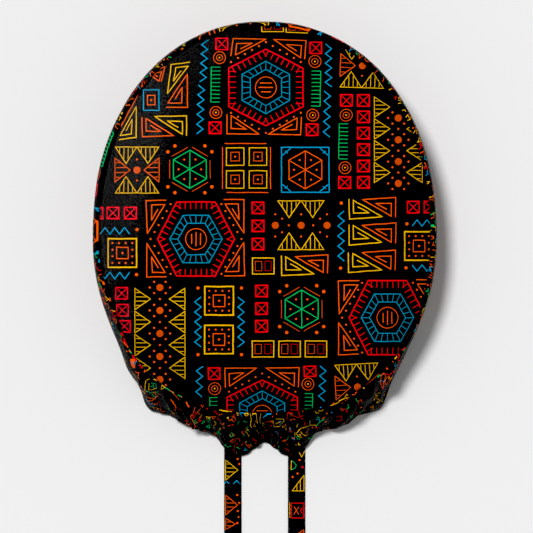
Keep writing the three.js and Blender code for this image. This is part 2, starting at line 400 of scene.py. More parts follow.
def laid_wall(angle, down, flat):
    """Where the wall's cloth lies at an angle and a depth below the seam. flat places its unevenness."""
    depth = np.interp(angle, SEAM_ANGLES, WALL_DEEP)
    crumpled = smoothstep(np.abs(angle), CRUMPLE_FROM, 160)
    angle, share = strayed(angle, down / depth, flat, crumpled)
    relief = wall_relief(angle, share, down, depth, flat, crumpled)
    place = smooth_wall(angle, share) + relief[:, None] * wall_normals(angle, share)
    place[:, 2] -= SEAM_SINK * np.clip(1 - down / SEAM_ROLL, 0, 1) ** 2
    lift = rim_at(angle)["lift"]
    place[:, 2] = np.maximum(place[:, 2], lift * np.clip(share, 0, 1))
    at_hem = smoothstep(share, 0.96, 1)
    place[:, 2] = place[:, 2] * (1 - at_hem) + lift * at_hem
    return place


def wall_surface(flat):
    """Where points of the band's flat cloth lie. x: from the front, right positive. y: 0 at the seam."""
    return laid_wall(np.interp(flat[:, 0], WALL_LENGTHS, SEAM_ANGLES), np.maximum(-flat[:, 1], 0), flat)


def nape_surface(flat):
    """Where points of the casing's flat cloth lie. x: from the nape's middle, right positive."""
    side = np.where(flat[:, 0] < 0, -1, 1)
    length = side * (WALL_LENGTHS[-1] - np.abs(flat[:, 0]))
    return laid_wall(np.interp(length, WALL_LENGTHS, SEAM_ANGLES), np.maximum(-flat[:, 1], 0), flat)


# The print: strokes and dots in the photograph's pixels, y down, about each motif's middle

RED = (0.88, 0.002, 0.016)
ORANGE = (0.86, 0.105, 0.003)
RUST = (0.60, 0.075, 0.006)
CRIMSON = (0.40, 0.008, 0.012)
YELLOW = (0.84, 0.46, 0.004)
BLUE = (0.002, 0.31, 0.56)
TEAL = (0.002, 0.26, 0.42)
GREEN = (0.002, 0.48, 0.12)

MEDIUM, THICK = 2.0, 2.9  # stroke widths
DOT_SIZE = 0.88


def line(points, ink, width=MEDIUM, closed=False):
    return ("line", np.array(points, dtype=float), ink, width, closed)


def dot(x, y, radius, ink):
    radius *= DOT_SIZE
    turns = np.linspace(0, 2 * np.pi, 7 if radius < 2 else 12)[:-1]
    ring = np.column_stack([x + radius * np.cos(turns), y + radius * np.sin(turns)])
    return ("dot", ring, ink, 0, True)


def moved(marks, x=0, y=0, turn=0, flip=(1, 1)):
    """The marks mirrored, turned by degrees, and moved."""
    c, s = math.cos(math.radians(turn)), math.sin(math.radians(turn))
    out = []
    for kind, points, ink, width, closed in marks:
        p = points * flip
        p = np.column_stack([p[:, 0] * c - p[:, 1] * s + x, p[:, 0] * s + p[:, 1] * c + y])
        out.append((kind, p, ink, width, closed))
    return out


def ring(radius, sides=22, turn=0):
    turns = np.radians(turn) + np.linspace(0, 2 * np.pi, sides + 1)[:-1]
    return np.column_stack([radius * np.sin(turns), -radius * np.cos(turns)])


def rectangle(width, height):
    w, h = width / 2, height / 2
    return [(-w, -h), (w, -h), (w, h), (-w, h)]


def wound(far, near, ink):
    """A triangle that winds into itself, from a corner at 0, 0 with legs to the points far and near."""
    path = ((0, 1), (0, 0), (1, 0), (0.13, 0.93), (0.13, 0.28), (0.6, 0.24), (0.26, 0.58))
    return [line([np.multiply(far, u) + np.multiply(near, v) for u, v in path], ink, 2.1)]


def hatched_triangle(base, height, ink, hatches=4):
    """Base up and apex down, hatched from base to apex."""
    marks = [line([(-base / 2, 0), (base / 2, 0), (0, height)], ink, 1.7, True)]
    for i in range(1, hatches + 1):
        x = base * (i / (hatches + 1) - 0.5)
        reach = height * (1 - abs(x) / (base / 2))
        if reach > 3:
            marks.append(line([(x, 1), (x, reach - 1.2)], ink, 1.4))
    return marks


def medallion():
    """A red hexagon with ticks round two blue ones joined by rungs, and dots along its slanting sides."""
    marks = [line(ring(38.4, 6) * (1.115, 1), RED, 2.5, True)]
    marks += [line(ring(26.2, 6) * (1.045, 1), TEAL, 2.0, True)]
    marks += [line(ring(18.1, 6), TEAL, 1.9, True), line(ring(10.5), ORANGE, 1.6, True)]
    corners = ring(1, 6)
    for a, b in zip(corners, np.roll(corners, -1, axis=0)):
        inward = -(a + b) / np.linalg.norm(a + b)
        for i in range(7):
            place = (a + (b - a) * (i + 0.5) / 7) * (42, 37.6)
            marks.append(line([place, place + inward * 6.4], RED, 1.6))
        for i in range(4):
            share = a + (b - a) * i / 4
            marks.append(line([share * 18.4, share * (26.5, 25)], TEAL, 1.5))
    for y, reach in ((-4.4, 6), (0, 7), (4.4, 4.9)):
        marks.append(line([(-reach, y), (reach, y)], ORANGE, 2.1))
    for flip in ((1, 1), (-1, 1), (1, -1), (-1, -1)):
        for i in range(6):
            x, y = -34.9 + 6.98 * i, -25.4 - 4 * i
            marks.append(dot(x * flip[0], y * flip[1], 1.2, ORANGE))
    return marks


def lone_dot():
    return [dot(0, 0, 2, ORANGE)]


def crossed_square():
    marks = [line(rectangle(11.7, 11.4), RED, 2.5, True)]
    marks.append(line([(-5, -5), (5, 5)], RED, 1.8))
    marks.append(line([(5, -5), (-5, 5)], RED, 1.8))
    return marks


def target():
    return [line(ring(6), ORANGE, 1.35, True), line(ring(3.1, 12), ORANGE, 1.3, True), dot(0, 0, 1.0, YELLOW)]


def comb(length=35, teeth=10):
    """A spine on the left with teeth to the right."""
    marks = [line([(-4.4, -length / 2), (-4.4, length / 2)], GREEN, 1.6)]
    for i in range(teeth):
        y = length * (i / (teeth - 1) - 0.5)
        marks.append(line([(-4.4, y), (4.6, y)], GREEN, 1.6))
    return marks


ZIGZAG_SWING = 3.2
ZIGZAG_PITCH = 4.85


def zigzag(length):
    """From top to bottom."""
    count = max(2, round(length / ZIGZAG_PITCH))
    ys = np.linspace(-length / 2, length / 2, count + 1)
    return [line([(ZIGZAG_SWING * (-1) ** i, y) for i, y in enumerate(ys)], BLUE, 2.1)]


def framed_square():
    marks = [line(rectangle(15.5, 20.5), BLUE, 2.1, True)]
    return marks + [line(rectangle(7.5, 9.5), ORANGE, 1.9, True), dot(0, 0, 1.3, ORANGE)]


def hourglass():
    """Yellow triangles above and below, orange ones left and right, and a big dot."""
    width, height = 44, 46
    marks = [dot(0, 0, 4.1, RUST), dot(0, -10.5, 1.2, ORANGE), dot(0, 10.5, 1.2, ORANGE)]
    for side in (-1, 1):
        for down in (-1, 1):
            triangle = hatched_triangle(21.5, 16.5, YELLOW)
            marks += moved(triangle, side * 10.9, down * -height / 2, flip=(1, down))
        marks += moved(hatched_triangle(24, 15, ORANGE), side * width / 2, 0, turn=90 * side)
    return marks


def star(ink):
    marks = [line(ring(19, 6), ink, 1.9, True)]
    marks += [line([(0, 0), point * 18.2], ink, 1.7) for point in ring(1, 6)]
    return marks + [dot(x, y, 1.2, ORANGE) for x, y in ring(11.3, 6, 30)]


def green_star():
    marks = star(GREEN)
    corners = ring(1, 6)
    for a, b in zip(corners, np.roll(corners, -1, axis=0)):
        out = (a + b) / np.linalg.norm(a + b) * 4.2
        marks.append(line([a * 18.5 + out, b * 18.5 + out], RUST, 1.5))
    for x, y in ((22, 17.5), (15, 23.4)):
        marks += [dot(x * sx, y * sy, 2.1, ORANGE) for sy in (-1, 1) for sx in (-1, 1)]
    return marks


def boxed_star():
    marks = star(ORANGE) + [line(rectangle(47.5, 45), BLUE, 2.1, True)]
    for sx in (-1, 1):
        for sy in (-1, 1):
            marks.append(line([(23 * sx, 14.5 * sy), (14.5 * sx, 21.7 * sy)], BLUE, 1.9))
            marks.append(line([(20.5 * sx, 19 * sy), (17.6 * sx, 16.4 * sy)], BLUE, 1.6))
    return marks


def four_squares():
    marks = []
    for sx in (-1, 1):
        marks.append(line([(-21 + sx, 24.5 * sx), (21 + sx, 24.5 * sx)], ORANGE, 1.7))
        marks.append(line([(24 * sx, -21), (24 * sx, 21)], ORANGE, 1.7))
        for sy in (-1, 1):
            x, y = 11.4 * sx, 11.4 * sy
            marks += moved([line(rectangle(17.5, 17.5), YELLOW, 1.8, True)], x, y)
            marks += moved([line(rectangle(8.6, 8.6), RUST, 1.9, True)], x, y)
            marks.append(dot(x, y, 1.2, ORANGE))
    return marks


def dotted_square():
    marks = [line(rectangle(28.5, 28.5), YELLOW, THICK, True), line(rectangle(11.5, 11.5), ORANGE, 2, True)]
    marks.append(dot(0, 0, 1.4, ORANGE))
    for i in range(4):
        side = [dot(-9.9 + 6.6 * k, -9.9, 1.2, ORANGE) for k in range(3)]
        marks += moved(side, turn=90 * i)
    return marks


def two_cells():
    marks = [line(rectangle(21.5, 16), YELLOW, 2.1, True)]
    for x, ink in ((-4.8, RUST), (4.8, CRIMSON)):
        marks += moved([line(rectangle(6.3, 9.4), ink, 1.3, True)], x)
    return marks


TOOTH_ROWS = 4


def tooth_column(pitch=23, width=25, first=0):
    """Hatched triangles down both sides, pointing in, with big and small dots between them, from the
    first dot on."""
    marks = []
    for i in range(TOOTH_ROWS):
        y = (i - (TOOTH_ROWS - 1) / 2) * pitch
        for side in (-1, 1):
            triangle = hatched_triangle(pitch - 1.5, 15.5, YELLOW)
            marks += moved(triangle, side * width, y, turn=90 * side)
    for i in range(first, TOOTH_ROWS + 1):
        y = (i - TOOTH_ROWS / 2) * pitch
        marks.append(dot(0, y, 4.1, RUST))
        for side in (-1, 1):
            marks.append(dot(side * 10.2, y, 1.3, ORANGE))
            marks.append(dot(side * 5.8, y + 5.6, 1.3, ORANGE))
            marks.append(dot(side * 5.8, y - 5.6, 1.3, ORANGE))
        if i < TOOTH_ROWS:
            marks.append(dot(0, y + pitch / 2, 1.3, ORANGE))
    return marks


def tooth_row():
    """Two hatched triangles hang over two that stand, with a row of big and small dots between them."""
    marks = [dot(x, y, 1.2, ORANGE) for x in (-19, 19) for y in (-6.6, 7)]
    marks += [dot(x, 0, 1.2, ORANGE) for x in (-12.3, 12.1)]
    for x in (-11.9, 11.5):
        marks += moved(hatched_triangle(22.6, 16.8, YELLOW), x, -24.5)
        marks += moved(hatched_triangle(22.6, 16.8, YELLOW), x, 24.4, flip=(1, -1))
    for x in (-25.8, 0, 25.9):
        marks += [dot(x, 0, 4.1, RUST), dot(x, -11, 1.2, ORANGE), dot(x, 11.2, 1.2, ORANGE)]
    return marks


# Winding triangles, in the photograph's pixels: corner, end of the long leg, end of the short leg, ink
WINDINGS = (
    ((233.2, 38.6), (266, 39.1), (230.9, 56.1), ORANGE),
    ((305.9, 40.5), (273.8, 39.5), (304.7, 59.3), ORANGE),
    ((227, 133.9), (259.3, 134.1), (227, 114.1), ORANGE),
    ((300.6, 134.8), (268.1, 134.3), (301.3, 116.6), ORANGE),
    ((171.2, 64.5), (167.3, 93.6), (189.9, 62.2), YELLOW),
    ((187.5, 107.3), (187.2, 74), (166.4, 107.4), ORANGE),
    ((136.1, 137.3), (136.2, 106.6), (118.9, 139.7), YELLOW),
    ((142.3, 136.8), (173.6, 135.7), (141.8, 117), ORANGE),
    ((186.6, 115.8), (154.5, 116.4), (186.6, 135.7), YELLOW),
    ((165, 66.8), (146.8, 72.5), (161, 81.5), ORANGE),
    ((138.8, 93), (121, 126.5), (127.5, 101), ORANGE),
    ((146.1, 200.7), (147.3, 233.6), (166.1, 200.2), ORANGE),
    ((243.9, 199.5), (243.9, 233.2), (223.6, 199.5), ORANGE),
    ((146.8, 277), (146.8, 243.4), (166.6, 276.8), ORANGE),
    ((244.5, 275.7), (243.9, 242.3), (224.1, 275.9), ORANGE),
    ((338.1, 280.9), (339.3, 313.9), (359.3, 280.5), ORANGE),
    ((338.6, 354.8), (338.6, 322.5), (359, 354.1), ORANGE),
    ((436.6, 280), (436.2, 313), (416, 279.6), ORANGE),
    ((225, 368.2), (256.4, 368), (225.4, 387.6), ORANGE),
    ((299.2, 367.6), (266, 368), (298.4, 387.4), ORANGE),
    ((349.5, 219.1), (382.5, 216.8), (349, 199.1), YELLOW),
    ((349, 245.2), (381.8, 242.3), (349, 224.5), YELLOW),
    ((348.4, 272.5), (381.8, 270), (348.4, 252.5), YELLOW),
    ((395.6, 197.5), (362.5, 199.5), (395.6, 217.3), ORANGE),
    ((396, 223), (362, 225.2), (395.6, 243.4), ORANGE),
    ((395.6, 250.2), (362, 252.5), (395, 270.2), ORANGE),
    ((281.8, 275.7), (314.3, 274), (281.3, 255.5), YELLOW),
    ((327.9, 254.8), (295, 256.6), (327.5, 273.6), ORANGE),
)

MIRRORED = (-1, 1)


def at_places(motif, *places):
    """The chart's rows of one motif."""
    return [(motif, *place) for place in places]


# Zigzags, in the photograph's pixels: length, x, y and, where it has them, turn in degrees and mirror
ZIGZAGS = (
    (42, 204, 61, 3), (49, 200.5, 109.5, 2, MIRRORED), (43, 328.5, 65.5, 0, MIRRORED),
    (46, 327, 114, 1, MIRRORED), (50, 341, 236), (50, 198, 322), (50, 241, 322, 0, MIRRORED),
    (29.5, 114.8, 230.8, 90), (29.5, 114.8, 275.6, 90, MIRRORED),
    (29.5, 427, 223, 90), (29.5, 427, 268, 90, MIRRORED),
)

# The chart, in the photograph's pixels: motif, x, y and, where it has them, turn in degrees and mirror.
# A later motif lies over an earlier one. The cloth repeats down its length after REPEAT pixels.
REPEAT = 330
CHART = (
    at_places(medallion, (265.9, 87.4), (196, 239, 90), (387.5, 317.7, 90))
    + at_places(
        crossed_square,
        (221.8, 43.9), (215.1, 127.8), (315.7, 47.9), (312.2, 129.7), (346.4, 100.4), (344.7, 182.5),
        (113, 213), (130.4, 213), (97, 213), (121.6, 293.3), (122.4, 310.2), (124.4, 326.4),
        (413.3, 207.1), (430, 207),
        *((363.5, 100.4 + 16.4 * i) for i in range(6)),
        *((258, 207.8 + 18.1 * i) for i in range(3)),
        *((261.6, 291 + 17.6 * i) for i in range(3)),
    )
    + at_places(
        target, (219.5, 57.6), (215.9, 112.5), (314.9, 61.4), (312.8, 115.1), (346.1, 115.1), (345, 167.6),
    )
    + at_places(comb, (215.5, 84.5, 1), (316, 88.5, 1, MIRRORED), (343.3, 141.3, 1))
    + [(partial(zigzag, length), *place) for length, *place in ZIGZAGS]
    + at_places(
        lone_dot,
        (341.3, 203.1), (340.6, 268.1), (137, 229.6), (136.5, 274.6), (406.9, 223.8), (406, 267.8),
        (198, 288), (241.5, 288), (198, 354.6), (241.5, 354.6),
    )
    + at_places(framed_square, (151.2, 100.1))
    + at_places(hourglass, (137, 170), (362.4, 65.8, 2, (1, 0.95)))
    + at_places(green_star, (189.9, 169.3), (301.7, 309.1))
    + at_places(boxed_star, (305.3, 169.8))
    + at_places(four_squares, (246.5, 168))
    + at_places(dotted_square, (122.4, 253), (219.1, 300.8), (218.9, 339.5), (419, 246))
    + at_places(two_cells, (263.3, 266), (263, 349), (289.5, 349), (316, 349))
    + at_places(tooth_column, (159.9, 333.5))
    + at_places(partial(tooth_column, 21.8, 24, 1), (398.3, 139.8))
    + at_places(tooth_row, (301.1, 225.3))
)

# What shows of the next repeat, at the crown's front and back
CROWN_ENDS = [
    (medallion, 262.2, 414.8, 0, (0.95, 0.91)), (crossed_square, 214.2, 373.6),
    (crossed_square, 309.9, 371.4, -3, (1, 0.9)), (target, 214.7, 388.6), (target, 307.9, 384),
    (comb, 213.5, 415, 0, (0.85, 1)), (comb, 308.8, 411, 0, (-0.85, 1)),
    (partial(zigzag, 31), 199.3, 381.5, 2), (partial(zigzag, 35), 322.3, 383.5, 3, MIRRORED),
    (hourglass, 357.5, 387, -3), (two_cells, 272.5, 26, 0, (1, 0.7)), (two_cells, 297, 27, 2, (1, 0.7)),
]

# The camera looks straight down, far off, and frames what the photograph does
PHOTO_SIZE = 533
CAMERA_HEIGHT = 6480
LENS = 600
SENSOR = 36
VIEW_X, VIEW_Y = 1.3, -23.7  # the point under the middle of the picture


def pixel_mm(height):
    """The size of a pixel of the photograph at that height over the surface."""
    return SENSOR / LENS * (CAMERA_HEIGHT - height) / PHOTO_SIZE


CROWN_LEVEL = 84
MOTIF_MM = pixel_mm(CROWN_LEVEL)  # for each pixel of a motif, on the crown's top
FIRST_HEIGHT = 85.0
HEIGHT_ROUNDS = 4  # the height under a pixel is worked out from the place there, and the place from it


def crown_cloth_at(pixels):
    """The points of the crown's flat cloth that show at pixels of the photograph."""
    height = np.full(len(pixels), FIRST_HEIGHT)
    for _ in range(HEIGHT_ROUNDS):
        plan = (VIEW_X, VIEW_Y) + (pixels - PHOTO_SIZE / 2) * (1, -1) * pixel_mm(height)[:, None]
        angle = np.degrees(np.arctan2(plan[:, 0], plan[:, 1]))
        reach = seam_radius(angle)
        share = np.hypot(plan[:, 0], plan[:, 1]) / reach
        height = crown_height(angle, share)
    cloth_share = np.interp(share, SHARES, CLOTH_SHARES)
    return plan * (cloth_share / np.maximum(share, 1e-6))[:, None]


PIXEL_STEP = 5  # the longest step of a line before it is laid on the crown
INK_WIDTH = 0.5  # the drawn strokes against the widths that they show with their blurred edges


def chart_marks(rows):
    """Every mark of the chart's rows, in the photograph's pixels."""
    marks = []
    for motif, *place in rows:
        marks += moved(motif(), *place)
    for corner, far, near, ink in WINDINGS:
        marks += moved(wound(np.subtract(far, corner), np.subtract(near, corner), ink), *corner)
    return marks


def crown_print():
    marks = []
    for kind, points, ink, width, closed in chart_marks(CHART + CROWN_ENDS):
        if kind == "line":
            points = resample(points, closed, PIXEL_STEP)
        marks.append((kind, crown_cloth_at(points), ink, width * MOTIF_MM * INK_WIDTH, closed))
    return marks


# How far the flat band and casing reach, from the front and from the nape's middle. Each ends END_GAP
# short of where they meet.
END_GAP = 0.4
BAND_END = float(np.interp(NAPE_FROM, SEAM_ANGLES, WALL_LENGTHS)) - END_GAP
NAPE_END = WALL_LENGTHS[-1] - BAND_END - 2 * END_GAP

# The wall is cut with the print's height along the seam. Its columns hang from WALL_COLUMN, and
# WALL_ROW is the chart's row at WALL_ROW_ANGLE degrees. Only motifs between WALL_LEFTMOST and
# WALL_RIGHTMOST, and above WALL_LOWEST, are on it.
WALL_COLUMN = 322
WALL_LEFTMOST = 195
WALL_RIGHTMOST = 330
WALL_LOWEST = 360
WALL_ROW = 76.5
WALL_ROW_ANGLE = -58
WALL_REPEATS = range(-4, 4)

CREASED_FROM = 118  # degrees from the front where creases reach down to the hem
BROKEN_DEPTH = 15  # before that they stay near the seam
BROKEN = ((-180, -97), (-55, -22), (22, 180))  # degrees where creases break the wall's print up
FRAGMENT_PITCH = 4.3
FRAGMENT_SHIFT = 2
FRAGMENT_SHARE = 0.8  # of the places on a grid that hold a scrap
CHARTED_SHARE = 0.12  # the same where most scraps are charted
CHARTED_FROM = float(np.interp(124, SEAM_ANGLES, WALL_LENGTHS))  # from there to the nape
FRAGMENT_INKS = (GREEN, ORANGE, YELLOW, RED, ORANGE, BLUE, YELLOW, RUST, GREEN, ORANGE)
INK_PATCH = 11  # millimetres over which the scraps keep to a few inks
SHARD_KINDS = 8


def smooth_cloth(along, up):
    """Whether the wall's cloth lies smooth at that length from the front and height from the seam."""
    angle = np.interp(abs(along), WALL_LENGTHS, SEAM_ANGLES) * np.sign(along)
    if up < -BROKEN_DEPTH and abs(angle) < CREASED_FROM:
        return True
    return not any(low < angle < high for low, high in BROKEN)


def nape_print():
    """The casing is creased all over, so that only scraps of its print show."""
    return scraps(nape_surface, NAPE_END, True) + fragments(lambda along, up: False, CHARTED_SHARE)


def wall_print():
    start = np.interp(WALL_ROW_ANGLE, SEAM_ANGLES, WALL_LENGTHS)
    marks = []
    for kind, points, ink, width, closed in chart_marks(CHART):
        middle = points.mean(axis=0)
        if not WALL_LEFTMOST < middle[0] < WALL_RIGHTMOST or middle[1] > WALL_LOWEST:
            continue
        for repeat in WALL_REPEATS:
            along = start - (points[:, 1] - WALL_ROW + REPEAT * repeat) * MOTIF_MM
            up = (points[:, 0] - WALL_COLUMN) * MOTIF_MM
            if smooth_cloth(along.mean(), up.mean()):
                shown = np.column_stack([along, up])
                marks.append((kind, shown, ink, width * MOTIF_MM * INK_WIDTH, closed))
    return marks + scraps(wall_surface, BAND_END, False) + fragments(smooth_cloth, FRAGMENT_SHARE)


def shards(shade):
    """The scraps of motifs that show between creases, about 0, 0, in the photograph's pixels."""
    turns = np.linspace(0, 4.2, 8)
    hook = np.column_stack([2.3 * np.cos(turns), 2.3 * np.sin(turns)])
    return (
        [line(hook, shade, 1.25)],
        [line([(-3.4, 0.6), (0.2, -0.9), (3.2, 0.8)], shade, 1.3)],
        [line([(-2.6, -1.3), (2.4, -2.2), (0.4, 2.6)], shade, 1.25, True)],
        [line([(x, -1.9), (x + 0.4, 1.3)], shade, 1.1) for x in (-2.4, 0, 2.4)],
        [line([(-3.6, 1.2), (-1.2, -1.3), (1.2, 1.3), (3.6, -1.2)], shade, 1.25)],
        [dot(0, 0, 1.5, shade)],
        [line([(-4.6, 0), (4.4, 0.5)], shade, 1.25)],
        [line([(-1.9, 2), (-1.9, -2), (2.2, -1.3)], shade, 1.3), dot(2.6, 2.2, 0.9, shade)],
    )


def fragments(smooth, share):
    """Scraps of print scattered over the creased cloth, in flat cloth, y up."""
    randoms = np.random.default_rng(7)
    low, high = (-WALL_LENGTHS[-1], -WALL_DEEP.max()), (WALL_LENGTHS[-1], 0)
    marks = []
    for place in hex_grid(low, high, FRAGMENT_PITCH):
        kind, turn, shown = randoms.integers(SHARD_KINDS), randoms.uniform(0, 360), randoms.random()
        jitter = randoms.uniform(-FRAGMENT_SHIFT, FRAGMENT_SHIFT, 2)
        patch = 9 * noise.noise(Vector((*(place / INK_PATCH), 3.7)))
        shade = FRAGMENT_INKS[int(randoms.normal(0, 1.1) + 5 + patch) % len(FRAGMENT_INKS)]
        if smooth(*place) or shown > (share if abs(place[0]) < CHARTED_FROM else CHARTED_SHARE):
            continue
        marks += placed(moved(shards(shade)[kind], turn=turn), place + jitter)
    return marks


